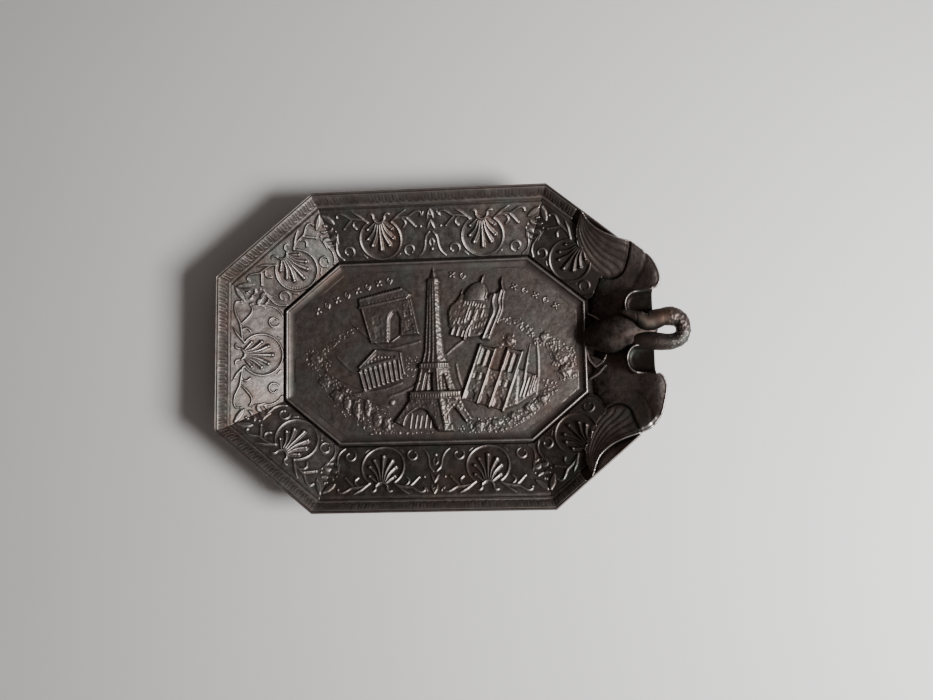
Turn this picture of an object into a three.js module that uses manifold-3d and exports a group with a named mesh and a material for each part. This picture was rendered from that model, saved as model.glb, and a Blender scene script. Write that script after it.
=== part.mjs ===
// Cast white-metal souvenir tray: an elongated octagonal dish with a relief of five
// landmarks on its floor, an ornamental frieze on its sloping sides, and a swan whose
// wings and curled neck form the end at +X. All lengths are millimetres. X runs along the
// tray towards the swan, Z is up, and the origin is the centre of the flat underside.
import * as THREE from 'three';
import { mergeVertices } from 'three/addons/utils/BufferGeometryUtils.js';
import Module from 'manifold-3d';

const wasm = await Module();
wasm.setup();

// ---------------------------------------------------------------- driving dimensions

// Plan octagons: the outer edge of the rim, and the crest of the frame round the plaque.
// Both have corners cut at the same angle, so every side of the tray is a flat facet.
const CORNER_RATIO = 24.6 / 29.4;
const RIM = { halfLength: 65, halfWidth: 48, cut: 29.4 };
const CREST = { halfLength: 46.25, halfWidth: 27.9, cut: 16.9 };

const RIM_HEIGHT = 15;
const FLOOR_HEIGHT = 2;
const PLAQUE_TOP = 2.5;
const DECK_HEIGHT = 9;          // flat step cut in the +X end, where the swan stands
const DECK_START_X = 57.3;
const END_SIDE = 7;             // the side of the octagon at +X
const GAP = 0.3;                // left between pieces that meet on a slope or a curve

// Section through the side, as [share of the way from crest to rim, height].
const BED = [[0.03, 2], [0.815, 9.9], [0.822, 9.9], [0.96, 13.4], [0.963, 15]];
const FRIEZE = { start: 0.03, end: 0.813, startHeight: 2.9, endHeight: 10.8 };
const OUTER_WALL = [[0.04, 0], [0.84, 7.8], [0.985, 12.4], [1, 13.2], [1, 15]];
const MOULDING = [[0.836, 10.6], [0.957, 13.65], [0.957, 14.6], [0.93, 14.2], [0.85, 11.5], [0.832, 11.3]];
const FRAME_SECTION = [[0.028, 2], [0.02, 3.3], [0, 3.6], [-0.02, 3.4], [-0.115, 2.5], [-0.115, 2]];
const PLAQUE_EDGE = -0.119;
const MOULDING_REACH = 0.31;    // share of each +X diagonal that the moulding runs along

const FRIEZE_THICKNESS = 0.6;
const ROUNDEL_RADIUS = 6.2;
const ROUNDEL_UP_SLOPE = 7.9;
const ROUNDEL_SPACING = 31.7;   // between the two roundels of a long side

// The swan lies a little to one side of the tray's centre line.
const SWAN_Y = 2.6;
const NECK_RADIUS = 2.45;
const NECK_PATH = [
  [63, SWAN_Y - 2.5, 12.7], [66, SWAN_Y - 3.2, 13], [69.8, SWAN_Y - 3.6, 13.1], [72.8, SWAN_Y - 2, 13.2],
  [73.7, SWAN_Y + 0.5, 13.2], [72.6, SWAN_Y + 2.9, 13.3], [69.8, SWAN_Y + 4.4, 13.4], [66.4, SWAN_Y + 3.9, 13.5],
  [64.6, SWAN_Y + 3.2, 13.6],
];
const REST_TOP = 14.8;

// ---------------------------------------------------------------- materials

const finish = (color, roughness) => new THREE.MeshStandardMaterial({ color, roughness, metalness: 0.9 });
const darkMetal = finish(0x3b3533, 0.5);
const wornMetal = finish(0x6b625f, 0.42);
const reliefMetal = finish(0x57504d, 0.45);

// ---------------------------------------------------------------- solids

function solidOf(geometry) {
  const bare = geometry.clone();
  bare.deleteAttribute('normal');
  bare.deleteAttribute('uv');
  const merged = mergeVertices(bare, 1e-5);
  const solid = new wasm.Manifold(new wasm.Mesh({
    numProp: 3,
    vertProperties: new Float32Array(merged.attributes.position.array),
    triVerts: new Uint32Array(merged.index.array),
  }));
  return solid;
}

function geometryOf(solid) {
  const mesh = solid.getMesh();
  const geometry = new THREE.BufferGeometry();
  geometry.setAttribute('position', new THREE.BufferAttribute(new Float32Array(mesh.vertProperties), 3));
  geometry.setIndex(new THREE.BufferAttribute(new Uint32Array(mesh.triVerts), 1));
  geometry.computeVertexNormals();
  return geometry;
}

const join = (solids) => solids.reduce((all, next) => all.add(next));

// Drops the loose slivers that a cut can leave.
const largestOf = (solid) => solid.decompose().reduce((a, b) => (a.volume() > b.volume() ? a : b));

const tray = new THREE.Group();

function addPiece(name, solid, material) {
  const mesh = new THREE.Mesh(geometryOf(solid), material);
  mesh.name = name;
  tray.add(mesh);
}

// Skins closed loops of points, one after another. The last joins the first, or both are capped.
function loft(loops, { closed = false } = {}) {
  const count = loops[0].length;
  const points = loops.flat();
  const faces = [];
  const bands = closed ? loops.length : loops.length - 1;
  for (let band = 0; band < bands; band += 1) {
    const low = band * count;
    const high = ((band + 1) % loops.length) * count;
    for (let i = 0; i < count; i += 1) {
      const next = (i + 1) % count;
      faces.push([low + i, low + next, high + next], [low + i, high + next, high + i]);
    }
  }
  if (!closed) {
    const last = (loops.length - 1) * count;
    for (let i = 1; i < count - 1; i += 1) {
      faces.push([0, i + 1, i], [last, last + i, last + i + 1]);
    }
  }
  const volume = faces.reduce((sum, [a, b, c]) => (
    sum + points[a].dot(new THREE.Vector3().crossVectors(points[b], points[c]))), 0);
  if (volume < 0) faces.forEach((face) => face.reverse());
  const geometry = new THREE.BufferGeometry().setFromPoints(points);
  geometry.setIndex(faces.flat());
  return solidOf(geometry);
}

const toShape = (outline) => new THREE.Shape(outline.map(([x, y]) => new THREE.Vector2(x, y)));

function prism(outline, bottom, top, holes = []) {
  const shape = toShape(outline);
  shape.holes = holes.map(toShape);
  const geometry = new THREE.ExtrudeGeometry(shape, { depth: top - bottom, bevelEnabled: false });
  return solidOf(geometry.translate(0, 0, bottom));
}

function box(low, high) {
  const size = high.map((value, axis) => value - low[axis]);
  const geometry = new THREE.BoxGeometry(...size);
  return solidOf(geometry.translate(...high.map((value, axis) => (value + low[axis]) / 2)));
}

function ellipsoid(centre, radii, segments = 12) {
  const geometry = new THREE.SphereGeometry(1, segments, segments / 2);
  return solidOf(geometry.rotateX(Math.PI / 2).scale(...radii).translate(...centre));
}

// The part of a ball or other solid that stands above a level.
const above = (solid, level) => solid.subtract(box([-90, -90, level - 60], [90, 90, level]));

function tube(points, radius, sides = 10, steps = 24) {
  const path = new THREE.CatmullRomCurve3(points.map((point) => new THREE.Vector3(...point)));
  const section = new THREE.Shape();
  section.absarc(0, 0, radius, 0, 2 * Math.PI);
  return solidOf(new THREE.ExtrudeGeometry(section, { steps, curveSegments: sides, extrudePath: path }));
}

// ---------------------------------------------------------------- octagon

function octagon(share) {
  const size = (key) => THREE.MathUtils.lerp(CREST[key], RIM[key], share);
  const length = size('halfLength');
  const width = size('halfWidth');
  const cutX = size('cut');
  const cutY = cutX * CORNER_RATIO;
  return [
    [length, width - cutY], [length - cutX, width], [cutX - length, width], [-length, width - cutY],
    [-length, cutY - width], [cutX - length, -width], [length - cutX, -width], [length, cutY - width],
  ];
}

const octagonLoop = ([share, height]) => octagon(share).map(([x, y]) => new THREE.Vector3(x, y, height));

// Share of the way from crest to rim at a point in plan.
function shareAt(x, y) {
  const inner = octagon(0);
  const outer = octagon(1);
  const shares = inner.map((corner, side) => {
    const next = outer[(side + 1) % 8];
    const normal = new THREE.Vector2(next[1] - outer[side][1], outer[side][0] - next[0]).normalize();
    const start = normal.dot(new THREE.Vector2(...corner));
    const end = normal.dot(new THREE.Vector2(...outer[side]));
    return (normal.x * x + normal.y * y - start) / (end - start);
  });
  return Math.max(...shares);
}

function heightOn(section, share) {
  if (share <= section[0][0]) return section[0][1];
  for (let i = 1; i < section.length; i += 1) {
    const [before, low] = section[i - 1];
    const [after, high] = section[i];
    if (share <= after) return THREE.MathUtils.mapLinear(share, before, after, low, high);
  }
  return section[section.length - 1][1];
}

// Frame of the sloping facet on one side: u along it, v up the slope, n out of the metal.
function facetOf(side) {
  const low = octagon(FRIEZE.start);
  const high = octagon(FRIEZE.end);
  const at = (corners, index, height) => new THREE.Vector3(...corners[index % 8], height);
  const feet = [at(low, side, FRIEZE.startHeight), at(low, side + 1, FRIEZE.startHeight)];
  const heads = [at(high, side, FRIEZE.endHeight), at(high, side + 1, FRIEZE.endHeight)];
  const origin = feet[0].clone().add(feet[1]).multiplyScalar(0.5);
  const u = feet[0].clone().sub(feet[1]).normalize();
  const n = new THREE.Vector3().crossVectors(u, heads[0].clone().sub(origin)).normalize();
  const v = new THREE.Vector3().crossVectors(n, u);
  const local = (point) => [point.clone().sub(origin).dot(u), point.clone().sub(origin).dot(v)];
  return {
    matrix: new THREE.Matrix4().makeBasis(u, v, n).setPosition(origin),
    outline: [local(feet[1]), local(feet[0]), local(heads[0]), local(heads[1])],
  };
}

const placeOn = (facet, solid) => solidOf(geometryOf(solid).applyMatrix4(facet.matrix));

// ---------------------------------------------------------------- dish, frame and plaque

function makeDish() {
  const body = loft([...OUTER_WALL, [0.963, RIM_HEIGHT], ...BED.slice(0, 4).reverse()].map(octagonLoop));
  return body.subtract(box([DECK_START_X, -60, DECK_HEIGHT], [80, 60, 30]));
}

function makePlaqueFrame() {
  const loops = octagon(0).map((_, corner) => (
    FRAME_SECTION.map(([share, height]) => new THREE.Vector3(...octagon(share)[corner], height))));
  return loft(loops, { closed: true });
}

function makeRimMoulding() {
  const section = (from, to, part) => MOULDING.map(([share, height]) => {
    const corners = octagon(share).map((corner) => new THREE.Vector3(...corner, height));
    return corners[from].lerp(corners[to], part);
  });
  const loops = [section(1, 0, MOULDING_REACH)];
  for (let corner = 1; corner <= 6; corner += 1) loops.push(section(corner, corner, 0));
  loops.push(section(6, 7, MOULDING_REACH));
  return loft(loops);
}

// ---------------------------------------------------------------- frieze panels

function makeRoundel(u) {
  const ring = new THREE.LatheGeometry([
    new THREE.Vector2(ROUNDEL_RADIUS - 0.35, -0.2), new THREE.Vector2(ROUNDEL_RADIUS + 0.35, -0.2),
    new THREE.Vector2(ROUNDEL_RADIUS, 0.45), new THREE.Vector2(ROUNDEL_RADIUS - 0.35, -0.2),
  ], 28);
  const pieces = [solidOf(ring.rotateX(Math.PI / 2).translate(u, ROUNDEL_UP_SLOPE, 0))];
  const root = new THREE.Vector2(u, ROUNDEL_UP_SLOPE + 4.4);
  for (let lobe = -3; lobe <= 3; lobe += 1) {
    const length = 8.6 - 0.75 * Math.abs(lobe);
    const petal = new THREE.ConeGeometry(0.75, length, 6).scale(1, 1, 0.7);
    petal.translate(0, -length / 2, 0).rotateZ(Math.PI).translate(0, -length, 0);
    petal.rotateZ(lobe * 0.36).translate(root.x, root.y, 0.05);
    pieces.push(solidOf(petal));
  }
  return join(pieces);
}

function makeFriezePanel(side, roundels) {
  const facet = facetOf(side);
  const mitre = 0.2;
  const shrunk = facet.outline.map(([u, v]) => [u - Math.sign(u) * mitre, v]);
  const slab = placeOn(facet, prism(shrunk, -FRIEZE_THICKNESS, 0));
  const ornament = placeOn(facet, join(roundels.map(makeRoundel)));
  const underWings = [1, -1].map((sign) => prism(featherOutline(sign, GAP), 0, 30));
  const deck = box([DECK_START_X - GAP, -60, 0], [80, 60, 30]);
  return largestOf(slab.add(ornament.subtract(join(underWings))).subtract(deck));
}

// ---------------------------------------------------------------- landmarks on the plaque

const relief = (outline, height, holes = []) => prism(outline, PLAQUE_TOP, PLAQUE_TOP + height, holes);

function makeLatticeTower() {
  // Each row of the shaft: y, left edge, corner nearest the eye, right edge, height of the corner.
  const shaft = [
    [-12.8, -6.6, 1.9, 6.6, 3.0], [-4.4, -3.9, 1.1, 3.5, 2.6], [0, -3.0, 0.9, 2.8, 2.3],
    [10, -2.3, 0.7, 1.9, 2.0], [20, -1.8, 0.5, 1.5, 1.7], [24, -1.4, 0.4, 1.3, 1.4], [25.3, -0.5, 0.1, 0.4, 0.8],
  ];
  const rows = shaft.map(([y, left, corner, right, rise]) => [
    new THREE.Vector3(left, y, PLAQUE_TOP), new THREE.Vector3(right, y, PLAQUE_TOP),
    new THREE.Vector3(corner, y, PLAQUE_TOP + rise),
  ]);
  const slots = [[[-3.9, -12], [-1.2, -12], [-1.6, -7], [-3, -7]], [[2.2, -12], [4.2, -12], [3, -7], [2, -7]]];
  const openings = slots.map((slot) => prism(slot, PLAQUE_TOP + 0.8, PLAQUE_TOP + 6));
  const leftLeg = [[-12.6, -21.8], [-9.9, -22.6], [-7.2, -18.6], [-4.6, -17.4], [-1.9, -18.6], [-0.4, -21], [1.6, -24.6],
    [5.6, -24.6], [4.2, -19], [5.8, -17.6], [8, -18.8], [9.6, -22], [11.8, -21.2], [8, -14], [-8.2, -14]];
  return join([
    loft(rows).subtract(join(openings)),
    relief(leftLeg, 1.6),
    relief([[-8.2, -14.8], [8, -14.8], [7.8, -12.6], [-7.8, -12.6]], 3.1),
    relief([[-4.5, -5.2], [4.3, -5.2], [4.2, -3.9], [-4.4, -3.9]], 2.9),
  ]);
}

function makeTriumphalArch() {
  const block = [[-19.8, 2.9], [-13.2, 2.9], [-10.6, 5.1], [-5.2, 5.5], [-7.2, 17.4], [-9.8, 19.6], [-23, 15.6]];
  const opening = [[-13.4, 3], [-10.9, 5.3], [-10.9, 10.4], [-12.2, 12.6], [-13.8, 11.4]];
  const cornice = [[-23.2, 13.8], [-9, 17], [-7, 15.6], [-7, 17.6], [-9.8, 20], [-23.4, 16.4]];
  return relief(block, 1.7).subtract(prism(opening, PLAQUE_TOP + 0.5, PLAQUE_TOP + 5)).add(relief(cornice, 2.1));
}

function makeColonnadedTemple() {
  const pieces = [
    relief([[-21.6, -11.2], [-10.4, -7.6], [-9.8, -0.2], [-18.2, 0.4], [-23.3, -4.4]], 0.7),
    relief([[-23.4, -4.9], [-10.6, -1.7], [-10.2, 0], [-18.2, 0.7]], 1.7),
    relief([[-21.9, -11.6], [-10.2, -8], [-10.2, -7.2], [-21.7, -10.7]], 1.2),
  ];
  for (let column = 0; column < 8; column += 1) {
    const footX = -21.3 + 1.52 * column;
    const footY = -10.9 + 0.45 * column;
    pieces.push(relief([
      [footX, footY], [footX + 0.8, footY + 0.2], [footX - 0.5, footY + 6.3], [footX - 1.3, footY + 6.1],
    ], 1.5));
  }
  return join(pieces);
}

function makeDomedBasilica() {
  const dome = (x, y, radius) => above(ellipsoid([x, y, PLAQUE_TOP], [radius, radius * 1.15, 1.9], 12), PLAQUE_TOP);
  return join([
    relief([[4.8, 6.4], [8.8, 4], [14.4, 3.1], [19.2, 8], [20.6, 14], [17.2, 14.6], [7.4, 14.8], [6.6, 11]], 1.5),
    relief([[9.8, 12.8], [17.2, 12.8], [17.2, 15.8], [9.8, 15.8]], 1.9),
    dome(13.5, 16.2, 3.5), dome(8.9, 15.4, 1.4), dome(17.9, 14.8, 1.3),
    relief([[13.2, 19.2], [14.2, 19.2], [14, 21.2], [13.6, 22.6], [13.3, 21.2]], 1.3),
    relief([[15.6, 3.4], [19.2, 8], [20.8, 14.4], [21.4, 20.6], [21.1, 22.2], [20.4, 20.4], [19, 14.6]], 2.1),
    relief([[4.6, 4.6], [9, 3.2], [9.2, 5], [5, 6.8]], 1.9),
  ]);
}

function makeTwinTowerCathedral() {
  const nave = [[9.4, -14.2], [20.2, -18], [29.6, -14.6], [30.4, -8.4], [26.6, -7.4], [24, -5.2], [13, -4.6]];
  const leftTower = [[8.8, -14.6], [13.4, -16.4], [19.4, 0.9], [15, 0.9]];
  const rightTower = [[16.8, -17.6], [20.8, -18.9], [26.8, -0.8], [22.8, -0.8]];
  const spire = [[27.4, -9], [28.7, -9], [29.4, 1.4]];
  const apse = [[25.6, -13.4], [28.8, -13.6], [29.6, -9.8], [26.2, -9.2]];
  return join([relief(nave, 1.4), relief(leftTower, 2.3), relief(rightTower, 2.5), relief(spire, 1.8), relief(apse, 2)]);
}

// A ground strip with tree crowns standing on it.
function makeTrees(strip, crowns) {
  const balls = crowns.map(([x, y, radius]) => above(
    solidOf(new THREE.IcosahedronGeometry(radius, 1).translate(x, y, PLAQUE_TOP + 0.15)), PLAQUE_TOP));
  return join([relief(strip, 0.35), ...balls]);
}

const leftTrees = () => makeTrees(
  [[-40, 1], [-40, -4], [-36, -12], [-27, -18], [-19, -24.4], [-14.2, -24.4], [-14, -20], [-20, -15.4], [-27, -11.6],
    [-31, -7], [-33, -1], [-30.5, 4.2], [-24.2, 7.2], [-24.6, 8.4], [-31, 5.4], [-35, 1.4]],
  [[-37.5, -1.6, 1.8], [-35, -9, 2], [-31, -13.4, 1.7], [-25, -16.6, 1.9], [-20.8, -17, 1.6], [-17, -21.6, 2]],
);
const rightTrees = () => makeTrees(
  [[32, -1.4], [35, -13], [25, -20], [13, -24.6], [13, -20.9], [20.4, -20.2], [31.2, -14.4], [31.4, -8], [30.2, -1],
    [30.4, 3.2], [26, 8.8], [27, 9.6], [33, 5.4], [37, 1.4], [42, -2], [42, -9], [38, -9.6], [36, -2]],
  [[39.4, -3.4, 2.1], [39.4, -7.4, 1.6], [33.4, 2.2, 1.4], [33, -15.6, 1.7], [28.6, -17.8, 1.6], [18.6, -22, 1.5]],
);

// The arched band of small rosettes along the top of the plaque.
const BAND_CENTRE_Y = -46;
const BAND_RADIUS = 70;
function makeRosetteBand(fromDegrees, toDegrees, count) {
  const polar = (degrees, radius) => {
    const angle = THREE.MathUtils.degToRad(90 - degrees);
    return [radius * Math.cos(angle), BAND_CENTRE_Y + radius * Math.sin(angle)];
  };
  const along = (share) => THREE.MathUtils.lerp(fromDegrees, toDegrees, share);
  const shares = [0, 0.25, 0.5, 0.75, 1];
  const strip = [
    ...shares.map((share) => polar(along(share), BAND_RADIUS - 0.3)),
    ...shares.toReversed().map((share) => polar(along(share), BAND_RADIUS + 0.3)),
  ];
  const rosettes = Array.from({ length: count }, (_, i) => {
    const [x, y] = polar(along((i + 0.5) / count), BAND_RADIUS);
    const flower = new THREE.CylinderGeometry(0.5, 1.05, 0.5, 8).rotateX(Math.PI / 2);
    return solidOf(flower.translate(x, y, PLAQUE_TOP + 0.25));
  });
  return join([relief(strip, 0.2), ...rosettes]);
}

// ---------------------------------------------------------------- the swan and the rests

// A plate that follows the bed of the dish under its outline.
function plateOnSlope(outline, lift, thickness) {
  const geometry = new THREE.ExtrudeGeometry(toShape(outline), { depth: 1, bevelEnabled: false });
  const position = geometry.attributes.position;
  for (let i = 0; i < position.count; i += 1) {
    const ground = heightOn(BED, Math.min(shareAt(position.getX(i), position.getY(i)), 0.955)) + lift;
    position.setZ(i, ground + position.getZ(i) * thickness);
  }
  return solidOf(geometry);
}

// Plan outline of the long feathers of one wing, grown towards the middle of the tray.
function featherOutline(sign, growth) {
  return [
    [44.6 - growth, 39 + growth], [44.6 - growth, 33], [46.8 - growth, 26 - growth], [50.6 - growth, 21.2 - growth],
    [54, 18.9 - growth], [58.6, 20.6 - growth], [58.4, 28], [54.6, 30.4], [50.4, 33.6],
  ].map(([x, y]) => [x, sign * y]);
}

function makeWing(sign) {
  // The shoulder reaches in to the rest beside it, which lies with the swan off the centre line.
  const inner = sign > 0 ? 14.5 : 9.9;
  const shoulderTop = [
    [57.6, inner], [57.6, 29], [61.5, 26.4], [65, 23.8], [67.2, 20.4], [68, inner + 3.6], [66.6, inner + 0.3], [62, inner],
  ].map(([x, y]) => [x, sign * y]);
  const foot = ([x, y]) => [THREE.MathUtils.lerp(57.6, x, 0.62), y];
  const level = (outline, height) => outline.map(([x, y]) => new THREE.Vector3(x, y, height));
  const shoulder = loft([level(shoulderTop.map(foot), DECK_HEIGHT), level(shoulderTop, 13.2), level(shoulderTop, 15.2)]);
  const plate = plateOnSlope(featherOutline(sign, 0), 1.1, 1.4);
  return plate.add(shoulder);
}

function makeRest(low, high) {
  const block = box([57.8, low, DECK_HEIGHT], [65.4, high, REST_TOP]);
  const radius = (high - low) / 2 - 0.4;
  const channel = new THREE.CylinderGeometry(radius, radius, 20, 20).rotateZ(Math.PI / 2);
  const hollow = solidOf(channel.translate(61, (low + high) / 2, REST_TOP + 0.4));
  return block.subtract(hollow).subtract(tube(NECK_PATH, NECK_RADIUS + GAP, 10, 22));
}

// Clears everything that lies in the metal of the +X end, up to a lift above its slope.
function clearOfEndSlope(solid, lift) {
  const slope = heightOn(BED, 0.8) - heightOn(BED, 0.1);
  const run = 0.7 * (RIM.halfLength - CREST.halfLength);
  const foot = heightOn(BED, 0.1) + lift;
  const footX = THREE.MathUtils.lerp(CREST.halfLength, RIM.halfLength, 0.1);
  const grade = slope / run;
  const wedge = [[30, foot - (footX - 30) * grade], [80, foot + (80 - footX) * grade], [80, -40], [30, -40]];
  const ground = new THREE.ExtrudeGeometry(toShape(wedge), { depth: 120, bevelEnabled: false });
  return solid.subtract(solidOf(ground.rotateX(Math.PI / 2).translate(0, 60, 0)));
}

function makeSwanBody() {
  const trunk = ellipsoid([55, SWAN_Y - 0.2, 10], [6.8, 4.9, 4], 16);
  const shoulder = tube([[57, SWAN_Y - 1.6, 11.6], [60, SWAN_Y - 2.1, 12], [62.6, SWAN_Y - 2.5, 12.6]], 2.2, 10, 4);
  const stand = box([58, -1.9, DECK_HEIGHT], [62.4, 7.6, 11]);
  return clearOfEndSlope(trunk.add(shoulder), 1.3).subtract(box([56, -9, 0], [80, 12, DECK_HEIGHT])).add(stand);
}

const makeSwanNeck = () => tube(NECK_PATH, NECK_RADIUS, 10, 22);

function makeSwanHead() {
  const skull = new THREE.SphereGeometry(1, 12, 8).scale(2.3, 1.7, 1.5);
  const beak = new THREE.CylinderGeometry(0.3, 1.1, 5, 8).rotateZ(Math.PI / 2).translate(-3.8, 0, -0.2);
  const turned = (geometry) => solidOf(geometry.rotateZ(-0.33).translate(60.8, SWAN_Y + 3, 15.5));
  return turned(skull).add(turned(beak));
}

function makeSwanLeg(sign) {
  const facet = facetOf(END_SIDE);
  const thigh = [[5.6, 1], [8.4, 3.3], [5.8, 6.6]];
  const foot = [[7.8, 2.6], [11.8, 1.6], [12, 2.8], [9.2, 5.6], [8.2, 5.2]];
  const side = (outline) => outline.map(([fromAxis, v]) => [-sign * fromAxis - SWAN_Y, v]);
  return placeOn(facet, prism(side(foot), 0.3, 1).add(prism(side(thigh), 0.3, 1.6)));
}

// ---------------------------------------------------------------- the whole tray

const HALF_SPACING = ROUNDEL_SPACING / 2;
const PANELS = [
  ['frieze_back_right', 0, [0]], ['frieze_back', 1, [-HALF_SPACING, HALF_SPACING]], ['frieze_back_left', 2, [0]],
  ['frieze_left', 3, [0]], ['frieze_front_left', 4, [0]], ['frieze_front', 5, [-HALF_SPACING, HALF_SPACING]],
  ['frieze_front_right', 6, [0]],
];

addPiece('dish', makeDish(), darkMetal);
addPiece('rim_moulding', makeRimMoulding(), wornMetal);
addPiece('plaque_frame', makePlaqueFrame(), wornMetal);
addPiece('plaque', loft([[PLAQUE_EDGE, FLOOR_HEIGHT], [PLAQUE_EDGE, PLAQUE_TOP]].map(octagonLoop)), reliefMetal);
PANELS.forEach(([name, side, roundels]) => addPiece(name, makeFriezePanel(side, roundels), darkMetal));

addPiece('lattice_tower', makeLatticeTower(), reliefMetal);
addPiece('triumphal_arch', makeTriumphalArch(), reliefMetal);
addPiece('colonnaded_temple', makeColonnadedTemple(), reliefMetal);
addPiece('domed_basilica', makeDomedBasilica(), reliefMetal);
addPiece('twin_tower_cathedral', makeTwinTowerCathedral(), reliefMetal);
addPiece('left_trees', leftTrees(), reliefMetal);
addPiece('right_trees', rightTrees(), reliefMetal);
addPiece('rosette_band_left', makeRosetteBand(-33, -10, 8), reliefMetal);
addPiece('rosette_band_centre', makeRosetteBand(3.4, 8.9, 2), reliefMetal);
addPiece('rosette_band_right', makeRosetteBand(19.5, 34, 5), reliefMetal);

addPiece('swan_body', makeSwanBody(), darkMetal);
addPiece('swan_neck', makeSwanNeck(), wornMetal);
addPiece('swan_head', makeSwanHead(), wornMetal);
addPiece('left_wing', makeWing(1), darkMetal);
addPiece('right_wing', makeWing(-1), darkMetal);
addPiece('left_leg', makeSwanLeg(1), darkMetal);
addPiece('right_leg', makeSwanLeg(-1), darkMetal);
addPiece('left_cigarette_rest', makeRest(8, 14.2), darkMetal);
addPiece('right_cigarette_rest', makeRest(-9.6, -2.2), darkMetal);

export default tray;
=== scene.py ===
"""The looks of a cast white-metal souvenir tray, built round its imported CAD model.

Lengths are millimetres until a mesh is made. X runs along the tray towards the swan, Z is up.
A Relief is a height map: ornament is drawn on it as strokes and filled shapes, as a die cutter
would, and it is then laid on a sloping side or on the plaque.
"""
import itertools
import math

import bpy
import numpy as np
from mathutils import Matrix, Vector


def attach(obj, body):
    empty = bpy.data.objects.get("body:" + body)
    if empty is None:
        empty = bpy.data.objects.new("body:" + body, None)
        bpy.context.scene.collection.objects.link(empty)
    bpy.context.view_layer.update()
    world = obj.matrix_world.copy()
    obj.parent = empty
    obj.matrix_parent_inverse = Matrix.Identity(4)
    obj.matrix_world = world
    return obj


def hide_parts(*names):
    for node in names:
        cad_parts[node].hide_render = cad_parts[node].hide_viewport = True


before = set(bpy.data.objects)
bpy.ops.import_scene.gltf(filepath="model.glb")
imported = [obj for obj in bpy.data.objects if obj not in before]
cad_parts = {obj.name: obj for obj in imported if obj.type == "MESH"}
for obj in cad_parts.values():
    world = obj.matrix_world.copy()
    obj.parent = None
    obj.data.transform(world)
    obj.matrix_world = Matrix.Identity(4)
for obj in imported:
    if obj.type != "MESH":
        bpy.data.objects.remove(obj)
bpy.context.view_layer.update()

MM = 0.001

# ------------------------------------------------------------------ driving dimensions

# Plan octagons: the outer edge of the rim, and the crest of the frame round the plaque.
RIM = np.array([65.0, 48.0, 29.4])      # half length, half width, corner cut
CREST = np.array([46.25, 27.9, 16.9])
CORNER_RATIO = 24.6 / 29.4
DECK_HEIGHT = 9.0                       # flat step under the swan
DECK_START_X = 57.3
DECK_SHARES = (0.726, 0.878)            # where the deck meets the bed and the outer wall
RIM_FOOT_HEIGHT = 9.95
RIM_END_X = 60.3                        # the rim's diagonals run on to here, beside the wings
PLAQUE_TOP = 2.5
PLAQUE_SHARE = -0.119

# Sections through the side: share of the way from crest to rim, and height.
BED = np.array([[0.03, 2.0], [0.815, 9.9], [0.822, 9.9], [0.96, 13.4], [0.963, 15.0]])
DISH_SECTION = np.array([
    [0.04, 0.0], [0.06, 0.12], [0.84, 7.8], [0.97, 11.9], [0.99, 12.7], [1.0, 13.4], [1.0, 14.5],
    [0.995, 14.85], [0.985, 15.02], [0.975, 14.98], [0.966, 14.7], [0.961, 13.8], [0.94, 12.9],
    [0.822, 9.9], [0.815, 9.9], [0.03, 2.0]])
FRAME_SECTION = np.array([
    [0.028, 2.0], [0.026, 2.9], [0.018, 3.45], [0.006, 3.72], [-0.008, 3.72], [-0.02, 3.5],
    [-0.032, 3.1], [-0.06, 2.8], [-0.1, 2.57], [-0.135, 2.505], [-0.17, 2.44], [-0.17, 2.2], [-0.1, 2.0]])
MOULDING_SECTION = np.array([
    [0.822, 10.0], [0.826, 11.0], [0.834, 11.5], [0.846, 11.6], [0.856, 11.45], [0.866, 11.7],
    [0.9, 12.9], [0.935, 14.1], [0.948, 14.45], [0.956, 14.6], [0.9625, 14.55], [0.9625, 13.6],
    [0.9, 11.7]])
FRIEZE_FOOT = (0.03, 2.9)
FRIEZE_HEAD = (0.815, 10.82)
FRIEZE_THICKNESS = 0.6
FRIEZE_RELIEF = 0.88                    # how far the drawn ornament is flattened
SUNK_UNDER_WINGS = 0.9
MOULDING_REACH = 0.31                   # share of each +X diagonal that the moulding runs along
TONGUE_PITCH = 2.0
HALF_SPACING = 15.85                    # from the middle of a long side to each of its roundels
SWAN_Y = 2.6                            # the swan lies a little to one side

PAINTED_SHADE_START_X = 34.0                  # painted shade: the friezes are painted darker from here towards the swan, where the wings and rim shade them
PAINTED_SHADE_SPAN = 12.0
PAINTED_SHADE_STRENGTH = 0.5

FRIEZE_STEP = 0.174
PLAQUE_STEP = 0.125


# ------------------------------------------------------------------ small tools

def noise(points, scale, seed):
    """Smooth random values from -1 to 1, whose features are about one scale length apart."""
    lattice = np.random.default_rng(seed).uniform(-1, 1, (32, 32, 32))
    place = np.asarray(points, float) / scale
    cell = np.floor(place).astype(int)
    part = place - cell
    part = part * part * (3 - 2 * part)
    total = np.zeros(place.shape[:-1])
    for corner in itertools.product((0, 1), repeat=3):
        weight = np.prod(np.where(corner, part, 1 - part), axis=-1)
        index = (cell + corner) % 32
        total += weight * lattice[index[..., 0], index[..., 1], index[..., 2]]
    return total


def smoothstep(value):
    value = np.clip(value, 0, 1)
    return value * value * (3 - 2 * value)


def smooth(points, steps=8):
    """A curve through the points, as a closer row of points."""
    p = np.asarray(points, float)
    p = np.vstack([2 * p[0] - p[1], p, 2 * p[-1] - p[-2]])
    t = np.linspace(0, 1, steps, endpoint=False)[:, None]
    runs = []
    for a, b, c, d in zip(p[:-3], p[1:-2], p[2:-1], p[3:]):
        runs.append(b + 0.5 * t * (c - a + t * (2 * a - 5 * b + 4 * c - d + t * (3 * (b - c) + d - a))))
    return np.vstack(runs + [p[-2:-1]])


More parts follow.
